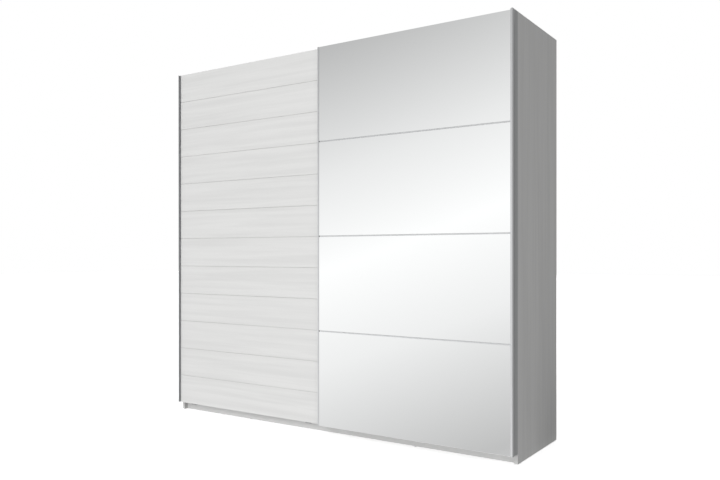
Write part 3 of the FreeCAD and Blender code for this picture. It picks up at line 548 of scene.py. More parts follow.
# ABS band glued on by machine and buffed: a little darker and glossier than the face, with a finer figure.
EDGE_BAND_UPRIGHT = DecorBoard(
    "abs_edge_band_upright", pale="#E4E4E3", dark="#DCDCDB", roughness=0.34, figure_mm=8.0
)
EDGE_BAND_LEVEL = DecorBoard(
    "abs_edge_band_level", pale="#E4E4E3", dark="#DCDCDB", along=Axis.X, roughness=0.34, figure_mm=8.0
)
# Groove faces in a duller, darker grey decor: the darker tone is painted shade in each milled recess, so that
# each groove draws a line.
GROOVE_PAINTED_SHADE = DecorBoard("decor_foil_in_groove", pale="#DADAD9", dark="#D2D2D1", along=Axis.X, roughness=0.5)
# A mirror that is cold, sharp and nearly clean, and the dull green of its cut edge.
MIRROR = SilveredGlass("silvered_float_glass")
GLASS_EDGE = GroundGlassEdge("ground_glass_edge")
# Aluminium etched and anodised: a silky grey whose fine lines run with the profile.
ALUMINIUM_UPRIGHT = DrawnMetal("anodised_aluminium_upright", along=Axis.Z)
ALUMINIUM_LEVEL = DrawnMetal("anodised_aluminium_level", along=Axis.X)
# The closing strip's copy is darker grey: painted shade for the shadowed gap beside the right side board, not
# a darker metal.
ALUMINIUM_PAINTED_SHADE = DrawnMetal("anodised_aluminium_strip", "#CDCECF", "#C1C2C3", Axis.Z)
# Aluminium as it leaves the press: duller, with coarse die lines along the rail.
MILL_ALUMINIUM = DrawnMetal(
    "extruded_mill_aluminium", "#CDCED0", "#BABCBE", Axis.X, low=0.34, high=0.55, line_mm=1.0
)
# Steel tube, polished and chromed: near a mirror, with hair lines that only blur it a little.
CHROMED_TUBE = DrawnMetal(
    "chromed_oval_tube", "#E4E6E8", "#DADCDE", Axis.X, low=0.05, high=0.12, line_mm=0.6, depth_mm=0.004
)
# Zinc in two forms: a bright plate with small spangles, and a darker, sandy casting.
ZINC_PLATE = MottledMetal("zinc_plated_steel")
CAST_ZINC = MottledMetal("die_cast_zinc", "#A9ABAE", "#8D9093", low=0.38, high=0.55, spangle_mm=1.2)
# Plastics as they leave the tool: milky for the wheels, mid grey for the feet, near black for the caps.
NYLON = MouldedPlastic("moulded_nylon")
GREY_PLASTIC = MouldedPlastic("moulded_grey_plastic", "#A2A4A6", "#989A9C", roughness=0.42)
DARK_CAP = MouldedPlastic("moulded_dark_cap", "#4A4B4D", "#3F4042", roughness=0.38)
# Rubber: black, quite matt, with a coarser grain than plastic.
RUBBER = MouldedPlastic("moulded_black_rubber", "#2A2B2C", "#222324", roughness=0.72, grain_mm=0.8)
# Pressed wood fibre, bare: greyish brown and flecked, finer and darker where it is a thin board.
HARDBOARD = PressedFibre("pressed_hardboard")
THIN_FIBREBOARD = PressedFibre("thin_fibreboard", "#BDBAB5", "#A5A29D", fleck_mm=1.2)
# Beech turned and left bare: warm, with short dark flecks along the dowel.
BEECH = DecorBoard(
    "turned_beech", "#D8C8AE", "#B79C78", Axis.X, roughness=0.55, figure_mm=6.0, figure_long_mm=60.0,
    pore_mm=0.6, pore_long_mm=8.0,
)
# Sheet of the light table: even and milky, with a grain so coarse and shallow that it hardly shows.
OPAL_SHEET = MouldedPlastic("opal_floor", "#F3F3F3", "#F1F1F1", roughness=0.7, grain_mm=40.0)


# ------------------------------------------------------------------ workshop


class Workpiece:
    """A mesh on the bench, shaped with edit tools and finished with applied modifiers."""

    def __init__(self, thing: bpy.types.Object) -> None:
        """Take an object whose place is in its mesh."""
        self.thing = thing

    @classmethod
    def take(cls, name: str) -> "Workpiece":
        """Take the primitive that was just added, name it and put its place into its mesh.

        Args:
            name: The piece's name.

        Returns:
            The primitive, ready to be shaped.
        """
        thing = bpy.context.object
        thing.name = name
        bpy.ops.object.transform_apply(location=True, rotation=True, scale=True)
        return cls(thing)

    @classmethod
    def block(cls, name: str, low: Vector, high: Vector) -> "Workpiece":
        """Saw a block to size.

        Args:
            name: The piece's name.
            low: Lowest corner.
            high: Highest corner.

        Returns:
            The block, in place.
        """
        bpy.ops.object.select_all(action="DESELECT")
        bpy.ops.mesh.primitive_cube_add(size=1.0, location=(low + high) / 2)
        bpy.context.object.scale = high - low
        return cls.take(name)

    @classmethod
    def rod(
        cls, name: str, middle: Vector, radius: float, length: float, axis: Axis, sides: int
    ) -> "Workpiece":
        """Cut a round bar to length.

        Args:
            name: The piece's name.
            middle: Centre of the bar.
            radius: The bar's radius.
            length: The bar's length.
            axis: Way the bar points.
            sides: Flats that stand for its round.

        Returns:
            The bar, in place.
        """
        turns = {Axis.X: (0.0, math.pi / 2, 0.0), Axis.Y: (math.pi / 2, 0.0, 0.0), Axis.Z: (0.0, 0.0, 0.0)}
        bpy.ops.object.select_all(action="DESELECT")
        bpy.ops.mesh.primitive_cylinder_add(
            vertices=sides, radius=radius, depth=length, location=middle, rotation=turns[axis]
        )
        return cls.take(name)

    @classmethod
    def from_node(cls, name: str, node: str) -> "Workpiece":
        """Copy a frame node's mesh and weld its loose triangles, so that it can be smoothed.

        Args:
            name: The piece's name.
            node: The frame node that it copies.

        Returns:
            The copy, in place.
        """
        thing = bpy.data.objects.new(name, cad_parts[node].data.copy())
        bpy.context.scene.collection.objects.link(thing)
        piece = cls(thing)
        thing.data.materials.clear()
        with piece.bench():
            bpy.ops.mesh.select_all(action="SELECT")
            bpy.ops.mesh.remove_doubles(threshold=WELD)
            bpy.ops.mesh.customdata_custom_splitnormals_clear()
            bpy.ops.mesh.dissolve_limited(angle_limit=math.radians(FLAT_DEGREES))
        return piece

    def hold(self) -> None:
        """Select this piece and nothing else."""
        bpy.ops.object.select_all(action="DESELECT")
        self.thing.select_set(True)
        bpy.context.view_layer.objects.active = self.thing

    @contextmanager
    def bench(self, part: Part = Part.FACE) -> Iterator[None]:
        """Open the piece for editing and close it again.

        Args:
            part: What is picked on it.
        """
        self.hold()
        bpy.ops.object.mode_set(mode="EDIT")
        bpy.ops.mesh.select_mode(type=part.name)
        bpy.ops.mesh.select_all(action="DESELECT")
        yield
        bpy.ops.object.mode_set(mode="OBJECT")

    def choose(self, wanted: Pick, part: Part = Part.FACE) -> None:
        """Select faces by centre and normal, edges by middle and direction, or corners by place.

        Args:
            wanted: Test of the two vectors.
            part: What is picked.

        Raises:
            ValueError: If nothing passes the test.
        """
        bpy.ops.mesh.select_all(action="DESELECT")
        mesh = bmesh.from_edit_mesh(self.thing.data)
        mesh.normal_update()
        found = 0
        for item in getattr(mesh, part.value):
            if part is Part.FACE:
                seat, way = item.calc_center_median(), item.normal
            elif part is Part.EDGE:
                start, end = (vertex.co for vertex in item.verts)
                seat, way = (start + end) / 2, (end - start).normalized()
            else:
                seat, way = item.co, item.normal
            if wanted(seat, way):
                item.select_set(True)
                found += 1
        mesh.select_flush_mode()
        bmesh.update_edit_mesh(self.thing.data)
        if not found:
            raise ValueError(f"nothing was picked on {self.thing.name}")

    def saw(self, axis: Axis, places: Sequence[float]) -> None:
        """Score the piece right round at each place along an axis, in edit mode.

        Args:
            axis: Way that the cuts face.
            places: Where the cuts are along that axis.
        """
        for place in places:
            bpy.ops.mesh.select_all(action="SELECT")
            bpy.ops.mesh.bisect(plane_co=axis.unit() * place, plane_no=axis.unit())

    def pull(self, axis: Axis, distance: float) -> None:
        """Extrude what is selected along an axis, in edit mode."""
        bpy.ops.mesh.extrude_region_move(TRANSFORM_OT_translate={"value": axis.unit() * distance})

    def round_edges(self, radius: float, segments: int, wanted: Pick) -> None:
        """Round the edges that pass a test of their middle and direction.

        Args:
            radius: Radius of the round.
            segments: Facets of the round.
            wanted: Test of an edge's middle and direction.
        """
        with self.bench(Part.EDGE):
            self.choose(wanted, Part.EDGE)
            bpy.ops.mesh.bevel(offset=radius, segments=segments, affect="EDGES", profile=0.5)

    def ease_outline(self, radius_mm: float, low: Vector, high: Vector) -> None:
        """Round the edges that lie on two sides of the piece's box at once, and leave its bores sharp.

        Args:
            radius_mm: Radius of the round.
            low: Lowest corner of the piece's box.
            high: Highest corner of the piece's box.
        """
        def on_outline(seat: Vector, way: Vector) -> bool:
            """Tell whether an edge's middle lies on two sides of the box."""
            gaps = [min(abs(seat[index] - low[index]), abs(seat[index] - high[index])) for index in range(3)]
            return sum(gap < TOUCH for gap in gaps) >= 2

        self.round_edges(radius_mm * MM, 2, on_outline)

    def soften(self, radius_mm: float, segments: int = 2) -> None:
        """Break every sharp arris with a bevel of this radius.

        Args:
            radius_mm: Radius of the bevel.
            segments: Facets of the bevel.
        """
        bevel = self.thing.modifiers.new("arris", "BEVEL")
        bevel.width = radius_mm * MM
        bevel.segments = segments
        bevel.limit_method = "ANGLE"
        bevel.angle_limit = math.radians(ARRIS_DEGREES)
        self.hold()
        bpy.ops.object.modifier_apply(modifier=bevel.name)

    def smooth(self, degrees: float = 35.0) -> None:
        """Shade round faces smooth and keep flat faces flat.

        Args:
            degrees: Sharpest angle between faces that is shaded as round.
        """
        self.hold()
        bpy.ops.object.shade_smooth_by_angle(angle=math.radians(degrees))
        weighted = self.thing.modifiers.new("flat_faces", "WEIGHTED_NORMAL")
        weighted.keep_sharp = True
        bpy.ops.object.modifier_apply(modifier=weighted.name)

    def copy(self, name: str, offset: Vector) -> "Workpiece":
        """Copy the piece with a mesh of its own, moved by an offset.

        Args:
            name: The copy's name.
            offset: Way from this piece to the copy.

        Returns:
            The copy.
        """
        twin = self.thing.copy()
        twin.data = self.thing.data.copy()
        twin.name = name
        bpy.context.scene.collection.objects.link(twin)
        twin.data.transform(Matrix.Translation(offset))
        return Workpiece(twin)

    def turn(self, centre: Vector, axis: Axis, degrees: float) -> None:
        """Turn the piece's mesh about a point."""
        spin = Matrix.Rotation(math.radians(degrees), 4, axis.unit())
        self.thing.data.transform(Matrix.Translation(centre) @ spin @ Matrix.Translation(-centre))

    def repeat(self, offsets: Sequence[Vector]) -> None:
        """Set a copy of the piece at each offset and join them all, as separate shells.

        Args:
            offsets: Way from the piece to each copy.
        """
        self.join([self.copy("twin", offset) for offset in offsets])

    def join(self, others: Sequence["Workpiece"]) -> None:
        """Take other pieces into this one as separate shells.

        Args:
            others: Pieces that are used up.
        """
        self.hold()
        for other in others:
            other.thing.select_set(True)
        bpy.ops.object.join()

    def paint(self, finish: Finish, wanted: Pick | None = None) -> None:
        """Dress the piece, or only the faces that pass a test of their centre and normal.

        Args:
            finish: What the faces are dressed in.
            wanted: Test of a face's centre and normal, or None for every face.
        """
        mesh = self.thing.data
        mesh.materials.append(finish.material())
        index = len(mesh.materials) - 1
        for face in mesh.polygons:
            if wanted is None or wanted(face.center, face.normal):
                face.material_index = index

    def fit(self, body: str, slot: str, nodes: Sequence[str]) -> None:
        """Hang the piece on its body in place of the frame's own nodes and report it.

        Args:
            body: Body that the piece rides on.
            slot: The record's material slot; not used.
            nodes: Frame nodes that the piece stands for.
        """
        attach(self.thing, body)
        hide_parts(*nodes)
        LOG.info("%s: %d faces on %s", self.thing.name, len(self.thing.data.polygons), body)


@dataclass(frozen=True)
class Fitting:
    """A bought or extruded part in the frame's own shape, with rounds and arrises that catch light."""

    node: str
    name: str
    finish: Finish
    slot: str
    arris_mm: float = 0.0
    segments: int = 1

    def build(self, body: str) -> None:
        """Copy the node, break its arrises where there is a radius, smooth its rounds and dress it.

        Args:
            body: Body that the fitting rides on.
        """
        piece = Workpiece.from_node(self.name, self.node)
        if self.arris_mm:
            piece.soften(self.arris_mm, self.segments)
        piece.smooth()
        piece.paint(self.finish)
        piece.fit(body, self.slot, [self.node])


def dress_node(node: str, finish: Finish) -> None:
    """Give a frame node that is shown as it is its finish.

    Args:
        node: The node's name.
        finish: What it is dressed in.
    """
    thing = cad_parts[node]
    if thing.material_slots:
        thing.material_slots[0].material = finish.material()
    else:
        thing.data.materials.append(finish.material())


def corner(x: float, y: float, z: float) -> Vector:
    """Name a point by its three places."""
    return Vector((x, y, z))


# ------------------------------------------------------------------ carcass


@dataclass
class Carcass:
    """The fixed case: boards with banded front edges, backs, plinth, rails and small fittings."""

    body: str = "carcass"
    arris_mm: float = 0.8
    band_mm: float = 1.0
    back_arris_mm: float = 0.4
    glide_rim_mm: float = 0.5
    glide_sides: int = 32
    upright: tuple[str, ...] = ("side_panel_left", "side_panel_right", "centre_partition")
    level: tuple[str, ...] = (
        "top_panel_left", "top_panel_right", "bottom_panel_left", "bottom_panel_right",
        "shelf_left", "shelf_right",
    )
    plinth: tuple[str, ...] = ("plinth_front", "plinth_rear", "plinth_braces")
    board_slot: str = "white_melamine_board"
    fittings: tuple[Fitting, ...] = (
        Fitting("track_stops", "track_stop_bumpers", RUBBER, "black_rubber", 1.2, 3),
        Fitting("clothes_rail_left", "clothes_rail_left_smooth", CHROMED_TUBE, "chromed_tube"),
        Fitting("clothes_rail_right", "clothes_rail_right_smooth", CHROMED_TUBE, "chromed_tube"),
        Fitting("rail_flanges", "rail_flanges_smooth", CAST_ZINC, "cast_zinc"),
        Fitting("cam_locks", "cam_locks_smooth", CAST_ZINC, "cast_zinc"),
        Fitting("cam_bolts", "cam_bolts_smooth", ZINC_PLATE, "zinc_plated_steel"),
        Fitting("shelf_pins", "shelf_pins_smooth", ZINC_PLATE, "zinc_plated_steel"),
        Fitting("running_track", "running_track_extrusion", MILL_ALUMINIUM, "mill_aluminium", 0.3),
        Fitting("guide_rail", "guide_rail_extrusion", MILL_ALUMINIUM, "mill_aluminium", 0.3),
        # The closing strip wears the darker aluminium copy: painted shade.
        Fitting("closing_strip", "closing_strip_angle", ALUMINIUM_PAINTED_SHADE, "anodised_aluminium", 0.3, 2),
    )

    def build(self) -> None:
        """Build every piece of the case."""
        for node in self.upright:
            self.board(node, DECOR_UPRIGHT, EDGE_BAND_UPRIGHT)
        for node in self.level:
            self.board(node, DECOR_LEVEL, EDGE_BAND_LEVEL)
        for node in self.plinth:
            self.board(node, DECOR_LEVEL, None)
        self.backs()
        self.glides()
        for fitting in self.fittings:
            fitting.build(self.body)
        dress_node("dowels", BEECH)
        ScrewSet("rail_screws", self.body, Axis.Z, self.way_to_rail).build()
        ScrewSet("flange_screws", self.body, Axis.X, self.way_into_bay).build()

    def way_to_rail(self, place: Vector) -> float:
        """Look up for the head of a track's screw and down for a guide rail's."""
        return math.copysign(1.0, place.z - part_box("running_track")[0].z / 2)

    def way_into_bay(self, place: Vector) -> float:
        """Tell on which side of an upright board the bay lies."""
        middle = (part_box("shelf_left")[0].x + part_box("shelf_left")[1].x) / 2
        return math.copysign(1.0, abs(middle) - abs(place.x)) * math.copysign(1.0, place.x)

    def board(self, node: str, finish: Finish, band: Finish | None) -> None:
        """Break a bored board's arrises and band its front edge.

        Args:
            node: The frame's board, whose bores are kept.
            finish: The board's decor.
            band: Finish of the thin band on the front edge, or None where the front is a broad face.
        """
        low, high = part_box(node)
        piece = Workpiece.from_node(f"{node}_board", node)
        band_end = low.y + self.band_mm * MM
        if band:
            with piece.bench():
                piece.saw(Axis.Y, [band_end])
        piece.ease_outline(self.arris_mm, low, high)
        piece.smooth()
        piece.paint(finish)
        if band:
            piece.paint(band, lambda seat, way: seat.y < band_end)
        piece.fit(self.body, self.board_slot, [node])

    def backs(self) -> None:
        """Build the two hardboard backs, printed on the inside and raw on the outside."""
        for node in ("back_panel_left", "back_panel_right"):
            low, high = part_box(node)
            piece = Workpiece.block(f"{node}_sheet", low, high)
            piece.soften(self.back_arris_mm)
            piece.paint(HARDBOARD)
            piece.paint(DECOR_UPRIGHT, lambda seat, way: way.y < -FACING)
            piece.fit(self.body, "hardboard", [node])

    def glides(self) -> None:
        """Turn the floor glides with a rounded rim."""
        spots = shell_boxes("floor_glides")
        low, high = spots[0]
        radius = (high.x - low.x) / 2
        pads = Workpiece.rod(
            "floor_glide_pads", (low + high) / 2, radius, high.z - low.z, Axis.Z, self.glide_sides
        )
        pads.soften(self.glide_rim_mm, 3)
        pads.repeat([place - low for place, _ in spots[1:]])
        pads.smooth()
        pads.paint(GREY_PLASTIC)
        pads.fit(self.body, "grey_plastic", ["floor_glides"])


def shell_boxes(node: str) -> list[tuple[Vector, Vector]]:
    """Find the separate solids of a frame node.

    Args:
        node: A node that holds several identical pieces.

    Returns:
        The lowest and highest corner of each solid, in order of X, then Y, then Z.
    """
    mesh = bmesh.new()
    mesh.from_mesh(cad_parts[node].data)
    bmesh.ops.remove_doubles(mesh, verts=mesh.verts, dist=WELD)
    waiting = set(mesh.verts)
    boxes = []
    while waiting:
        group = [waiting.pop()]
        for reached in group:
            for edge in reached.link_edges:
                beyond = edge.other_vert(reached)
                if beyond in waiting:
                    waiting.remove(beyond)
                    group.append(beyond)
        low = Vector([min(vertex.co[index] for vertex in group) for index in range(3)])
        high = Vector([max(vertex.co[index] for vertex in group) for index in range(3)])
        boxes.append((low, high))
    mesh.free()
    return sorted(boxes, key=lambda pair: tuple(round(value, 5) for value in pair[0]))


# ------------------------------------------------------------------ aluminium profiles


@dataclass
class EdgeTrim:
    """An extruded profile on a door's edge: a wall with fins that grip, cover or pull."""

    node: str
    side: Side
    on_handle_edge: bool
    face: float
    wall_mm: float
    nose_mm: float = 6.0
    nose_thick_mm: float = 2.5
    tongue_thick_mm: float = 2.0
    tongue_mm: float = 8.0
    proud_mm: float = 1.4
    arris_mm: float = 0.35

    def build(self) -> None:
        """Extrude the wall's fins from its inner side and round the arrises."""
        low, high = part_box(self.node)
        inward = self.side.inward if self.on_handle_edge else -self.side.inward
        outer = low.x if inward > 0 else high.x
        reach = high.x - low.x
        wall = self.wall_mm * MM
        inner = outer + inward * wall
        start = corner(min(outer, inner), low.y, low.z)
        end = corner(max(outer, inner), high.y, high.z)
        piece = Workpiece.block(f"{self.node}_profile", start, end)
        middle = (self.face + high.y) / 2
        tongue = (middle - self.tongue_thick_mm * MM / 2, middle + self.tongue_thick_mm * MM / 2)
        flange = (self.face - self.proud_mm * MM, self.face)
        fins = [(flange, reach - wall), (tongue, self.tongue_mm * MM)]
        if self.on_handle_edge:
            nose = (low.y, low.y + self.nose_thick_mm * MM)
            fins.append((nose, self.nose_mm * MM - wall))
        with piece.bench():
            piece.saw(Axis.Y, sorted({place for fin, _ in fins for place in fin if low.y < place}))
            for (first, last), length in fins:
                piece.choose(
                    lambda seat, way: way.x * inward > FACING and first < seat.y < last
                    and abs(seat.x - inner) < NEAR
                )
                piece.pull(Axis.X, inward * length)
        piece.soften(self.arris_mm)
        piece.smooth()
        piece.paint(ALUMINIUM_UPRIGHT)
        piece.fit(self.side.body, "anodised_aluminium", [self.node])


# ------------------------------------------------------------------ door hardware


@dataclass
class Hangers:
    """What carries and steers a door: bent steel carriers, grooved wheels, guides and screws."""

    side: Side
    sheet_mm: float = 2.5
    bend_mm: float = 4.0
    bend_facets: int = 5
    inner_bend_mm: float = 1.5
    inner_bend_facets: int = 3
    ear_corner_mm: float = 7.0
    ear_corner_facets: int = 6
    tread_mm: float = 14.0
    rim_mm: float = 17.0
    rib_room_mm: float = 1.8
    flare_mm: float = 0.9
    rim_wall_mm: float = 3.2
    rim_slope_mm: float = 0.8
    dish_mm: float = 1.6
    hub_slope_mm: float = 0.4
    hub_mm: float = 6.5
    round_sides: int = 64
    arris_mm: float = 0.3

    def build(self) -> None:
        """Build the hardware of one door."""
        door = self.side.value
        moulded = self.side is Side.LEFT
        foot, slot = (GREY_PLASTIC, "grey_plastic") if moulded else (ZINC_PLATE, "zinc_plated_steel")
        for index in (1, 2):
            self.carrier(f"{door}_carrier_{index}")
            guide = f"{door}_guide_{index}"
            Fitting(guide, f"{guide}_foot", foot, slot).build(self.side.body)
        self.wheels()
        axles = f"{door}_axles"
        Fitting(axles, f"{axles}_riveted", ZINC_PLATE, "zinc_plated_steel").build(self.side.body)
        ScrewSet(f"{door}_screws", self.side.body, Axis.Y, lambda place: 1.0).build()

    def carrier(self, node: str) -> None:
        """Fold a plate into its arm and its ear, with rounded bends and ear corners.

        Args:
            node: The carrier's node.
        """
        low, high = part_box(node)
        sheet = self.sheet_mm * MM
        ear_bottom = ear_height(node, high.y - sheet / 2)
        piece = Workpiece.block(f"{node}_bracket", low, corner(high.x, low.y + sheet, high.z))
        with piece.bench():
            piece.saw(Axis.Z, [high.z - sheet])
            piece.choose(lambda seat, way: way.y > FACING and seat.z > high.z - sheet)
            piece.pull(Axis.Y, high.y - low.y - 2 * sheet)
            piece.pull(Axis.Y, sheet)
            piece.choose(lambda seat, way: way.z < -FACING and seat.y > high.y - sheet)
            piece.pull(Axis.Z, ear_bottom - high.z + sheet)
        piece.round_edges(
            self.bend_mm * MM, self.bend_facets,
            lambda seat, way: abs(way.x) > FACING and seat.z > high.z - NEAR
            and min(abs(seat.y - low.y), abs(seat.y - high.y)) < NEAR,
        )
        piece.round_edges(
            self.inner_bend_mm * MM, self.inner_bend_facets,
            lambda seat, way: abs(way.x) > FACING and abs(seat.z - high.z + sheet) < NEAR
            and low.y + sheet / 2 < seat.y < high.y - sheet / 2,
        )
        piece.round_edges(
            self.ear_corner_mm * MM, self.ear_corner_facets,
            lambda seat, way: abs(way.y) > FACING and abs(seat.z - ear_bottom) < NEAR,
        )
        piece.soften(self.arris_mm, 1)
        piece.smooth()
        piece.paint(ZINC_PLATE)
        piece.fit(self.side.body, "zinc_plated_steel", [node])

    def wheels(self) -> None:
        """Turn one grooved wheel and copy it to the others of the door."""
        nodes = [f"{self.side.value}_wheel_{index}" for index in range(1, 5)]
        low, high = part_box(nodes[0])
        middle = (low + high) / 2
        half = (high.y - low.y) / 2
        first = Workpiece.rod("wheel", middle, self.rim_mm * MM, 2 * half, Axis.Y, self.round_sides)
        room = self.rib_room_mm * MM
        flare = room + self.flare_mm * MM
        tread = self.tread_mm / self.rim_mm
        with first.bench(Part.VERT):
            first.saw(Axis.Y, [middle.y + place for place in (-flare, -room, room, flare)])
            first.choose(lambda seat, way: abs(seat.y - middle.y) < room + TOUCH, Part.VERT)
            bpy.ops.transform.resize(value=(tread, 1.0, tread), center_override=middle)
        disc_mm = self.rim_mm - self.rim_wall_mm - self.rim_slope_mm - self.hub_mm
        rings = (
            (self.rim_wall_mm, 0.0), (self.rim_slope_mm, -self.dish_mm),
            (disc_mm, 0.0), (self.hub_slope_mm, self.dish_mm),
        )
        with first.bench():
            for out in (-1.0, 1.0):
                first.choose(
                    lambda seat, way: way.y * out > FACING and abs(seat.y - middle.y) > half - TOUCH
                )
                for width_mm, rise_mm in rings:
                    bpy.ops.mesh.inset(thickness=width_mm * MM, depth=rise_mm * MM)
        first.soften(self.arris_mm, 2)
        first.smooth()
        first.paint(NYLON)
        pieces = [first]
        for node in nodes[1:]:
            place = sum(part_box(node), Vector()) / 2
            pieces.append(first.copy("wheel", place - middle))
        for node, piece in zip(nodes, pieces):
            piece.thing.name = f"{node}_grooved"
            piece.fit(node, "nylon", [node])


def ear_height(node: str, inside: float) -> float:
    """Find how low a carrier's ear reaches: the lowest point of the node behind a plane."""
    return min(vertex.co.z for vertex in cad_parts[node].data.vertices if vertex.co.y > inside)


@dataclass
class ScrewSet:
    """A node's countersunk screws, modelled once with a cross recess and copied to each place."""

    node: str
    body: str
    axis: Axis
    head_way: Callable[[Vector], float]
    head_mm: float = 3.8
    shank_mm: float = 1.9
    sink_mm: float = 2.2
    recess_mm: float = 1.6
    recess_width_mm: float = 0.9
    recess_reach_mm: float = 2.3
    flats: int = 32

    def build(self) -> None:
        """Turn the first screw of the node, then set a copy at every other place."""
        spots = shell_boxes(self.node)
        low, high = spots[0]
        middle = (low + high) / 2
        first = self.screw(low, high)
        others = []
        for other_low, other_high in spots[1:]:
            place = (other_low + other_high) / 2
            twin = first.copy("screw", place - middle)
            if self.head_way(place) != self.head_way(middle):
                twin.turn(place, Axis.Y, 180.0)
            others.append(twin)
        first.join(others)
        first.thing.name = f"{self.node}_cross_recess"
        first.smooth(30.0)
        first.paint(ZINC_PLATE)
        first.fit(self.body, "zinc_plated_steel", [self.node])

    def screw(self, low: Vector, high: Vector) -> Workpiece:
        """Turn one screw and cut its cross recess.

        Args:
            low: Lowest corner of the screw's box.
            high: Highest corner of the screw's box.

        Returns:
            The screw, in place.
        """
        index = self.axis.value
        length = high[index] - low[index]
        middle = (low + high) / 2
        head_way = self.head_way(middle)
        top = middle + self.axis.unit() * (length / 2 * head_way)
        sink = top - self.axis.unit() * (self.sink_mm * MM * head_way)
        piece = Workpiece.rod("screw", middle, self.shank_mm * MM, length, self.axis, self.flats)
        growth = [self.head_mm / self.shank_mm] * 3
        growth[index] = 1.0
        with piece.bench():
            piece.saw(self.axis, [sink[index]])
            piece.choose(
                lambda seat, way: way[index] * head_way > FACING and abs(seat[index] - top[index]) < TOUCH
            )
            bpy.ops.transform.resize(value=growth, center_override=top)
        for turn in (0, 1):
            self.cut_slot(piece, top, turn)
        return piece

    def cut_slot(self, piece: Workpiece, top: Vector, turn: int) -> None:
        """Cut one arm pair of the cross into the screw's head.

        Args:
            piece: The screw.
            top: Middle of its head's face.
            turn: Zero or one, for the first or second arm pair.
        """
        index = self.axis.value
        reach = Vector([self.recess_width_mm * MM / 2] * 3)
        across = [place for place in range(3) if place != index]
        reach[across[turn]] = self.recess_reach_mm * MM
        reach[index] = self.recess_mm * MM
        cutter = Workpiece.block("cutter", top - reach, top + reach)
        carve = piece.thing.modifiers.new("recess", "BOOLEAN")
        carve.operation = "DIFFERENCE"
        carve.object = cutter.thing
        carve.solver = "EXACT"
        piece.hold()
        bpy.ops.object.modifier_apply(modifier=carve.name)
        bpy.data.objects.remove(cutter.thing)


# ------------------------------------------------------------------ doors


def furnish(side: Side, face: float) -> None:
    """Fit a door's two edge profiles and its running gear.

    Args:
        side: Which door.
        face: Place of the door's front face along Y.
    """
    EdgeTrim(f"{side.value}_handle", side, on_handle_edge=True, face=face, wall_mm=2.0).build()
    EdgeTrim(f"{side.value}_edge_profile", side, on_handle_edge=False, face=face, wall_mm=1.4).build()
    Hangers(side).build()


@dataclass
class GroovedDoor:
    """The left door: one pale board, milled with level grooves into twelve rows."""

    rows: int = 12
    groove_mm: float = 3.0
    depth_mm: float = 2.0
    arris_mm: float = 0.5

    def build(self) -> None:
        """Build the left door and all that hangs on it."""
        low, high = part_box("left_door_panel")
        self.panel(low, high)
        furnish(Side.LEFT, low.y)

    def panel(self, low: Vector, high: Vector) -> None:
        """Mill the grooves and break their edges.

        Args:
            low: Lowest corner of the board.
            high: Highest corner of the board.
        """
        row = (high.z - low.z) / self.rows
        half = self.groove_mm * MM / 2
        lines = [low.z + row * index for index in range(1, self.rows)]
        piece = Workpiece.block("left_door_grooved_board", low, high)
        with piece.bench():
            piece.saw(Axis.Z, [line + step for line in lines for step in (-half, half)])
            piece.choose(
                lambda seat, way: way.y < -FACING and any(abs(seat.z - line) < half for line in lines)
            )
            piece.pull(Axis.Y, self.depth_mm * MM)
        piece.soften(self.arris_mm)
        piece.paint(DecorBoard("decor_board_in_rows", along=Axis.X, row=row, row_start=low.z))
        # The groove faces get a darker decor: painted shade in the recesses.
        piece.paint(
            GROOVE_PAINTED_SHADE,
            lambda seat, way: seat.y > low.y + self.arris_mm * MM and way.y < 0.5
            and low.z + half < seat.z < high.z - half and low.x + half < seat.x < high.x - half,
        )
        piece.fit(Side.LEFT.body, "light_wood_decor", ["left_door_panel"])


@dataclass
class MirrorDoor:
    """The right door: four silvered panes on a thin board, with slim metal strips between them."""

    panes: int = 4
    facet_mm: float = 0.9
    silvered_facing: float = 0.6
    board_arris_mm: float = 0.5
    strip_arris_mm: float = 0.4
    cap_border_mm: float = 1.4
    cap_slope_mm: float = 0.3
    cap_dish_mm: float = 0.4

    def build(self) -> None:
        """Build the right door and all that hangs on it."""
        for index in range(1, self.panes + 1):
            self.pane(f"mirror_pane_{index}")
        self.board()
        self.strips()
        self.caps()
        furnish(Side.RIGHT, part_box("mirror_pane_1")[0].y)

    def pane(self, node: str) -> None:
        """Cut a pane and polish a facet round its front, which mirrors as the face does.

        Args:
            node: The pane's node.
        """
        low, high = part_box(node)
        piece = Workpiece.block(f"{node}_glass", low, high)
        piece.round_edges(self.facet_mm * MM, 1, lambda seat, way: abs(seat.y - low.y) < TOUCH)
        piece.paint(GLASS_EDGE)
        piece.paint(MIRROR, lambda seat, way: way.y < -self.silvered_facing)
        piece.fit(Side.RIGHT.body, "silvered_glass", [node])

    def board(self) -> None:
        """Saw the thin board that carries the panes."""
        low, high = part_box("right_door_board")
        piece = Workpiece.block("right_door_backing", low, high)
        piece.soften(self.board_arris_mm)
        piece.paint(THIN_FIBREBOARD)
        piece.fit(Side.RIGHT.body, "backing_board", ["right_door_board"])

    def strips(self) -> None:
        """Draw the flat strips between the panes."""
        spots = shell_boxes("divider_strips")
        low, high = spots[0]
        strips = Workpiece.block("divider_strips_drawn", low, high)
        strips.soften(self.strip_arris_mm)
        strips.repeat([place - low for place, _ in spots[1:]])
        strips.paint(ALUMINIUM_LEVEL)
        strips.fit(Side.RIGHT.body, "anodised_aluminium", ["divider_strips"])

    def caps(self) -> None:
        """Mould the strips' end caps, each with a shallow dish in its face."""
        spots = shell_boxes("divider_caps")
        low, high = spots[0]
        caps = Workpiece.block("divider_caps_moulded", low, high)
        with caps.bench():
            caps.choose(lambda seat, way: way.y < -FACING)
            bpy.ops.mesh.inset(thickness=self.cap_border_mm * MM)
            bpy.ops.mesh.inset(thickness=self.cap_slope_mm * MM, depth=-self.cap_dish_mm * MM)
        caps.soften(self.strip_arris_mm)
        caps.repeat([place - low for place, _ in spots[1:]])
        caps.paint(DARK_CAP)
        caps.fit(Side.RIGHT.body, "grey_plastic", ["divider_caps"])


# ------------------------------------------------------------------ studio


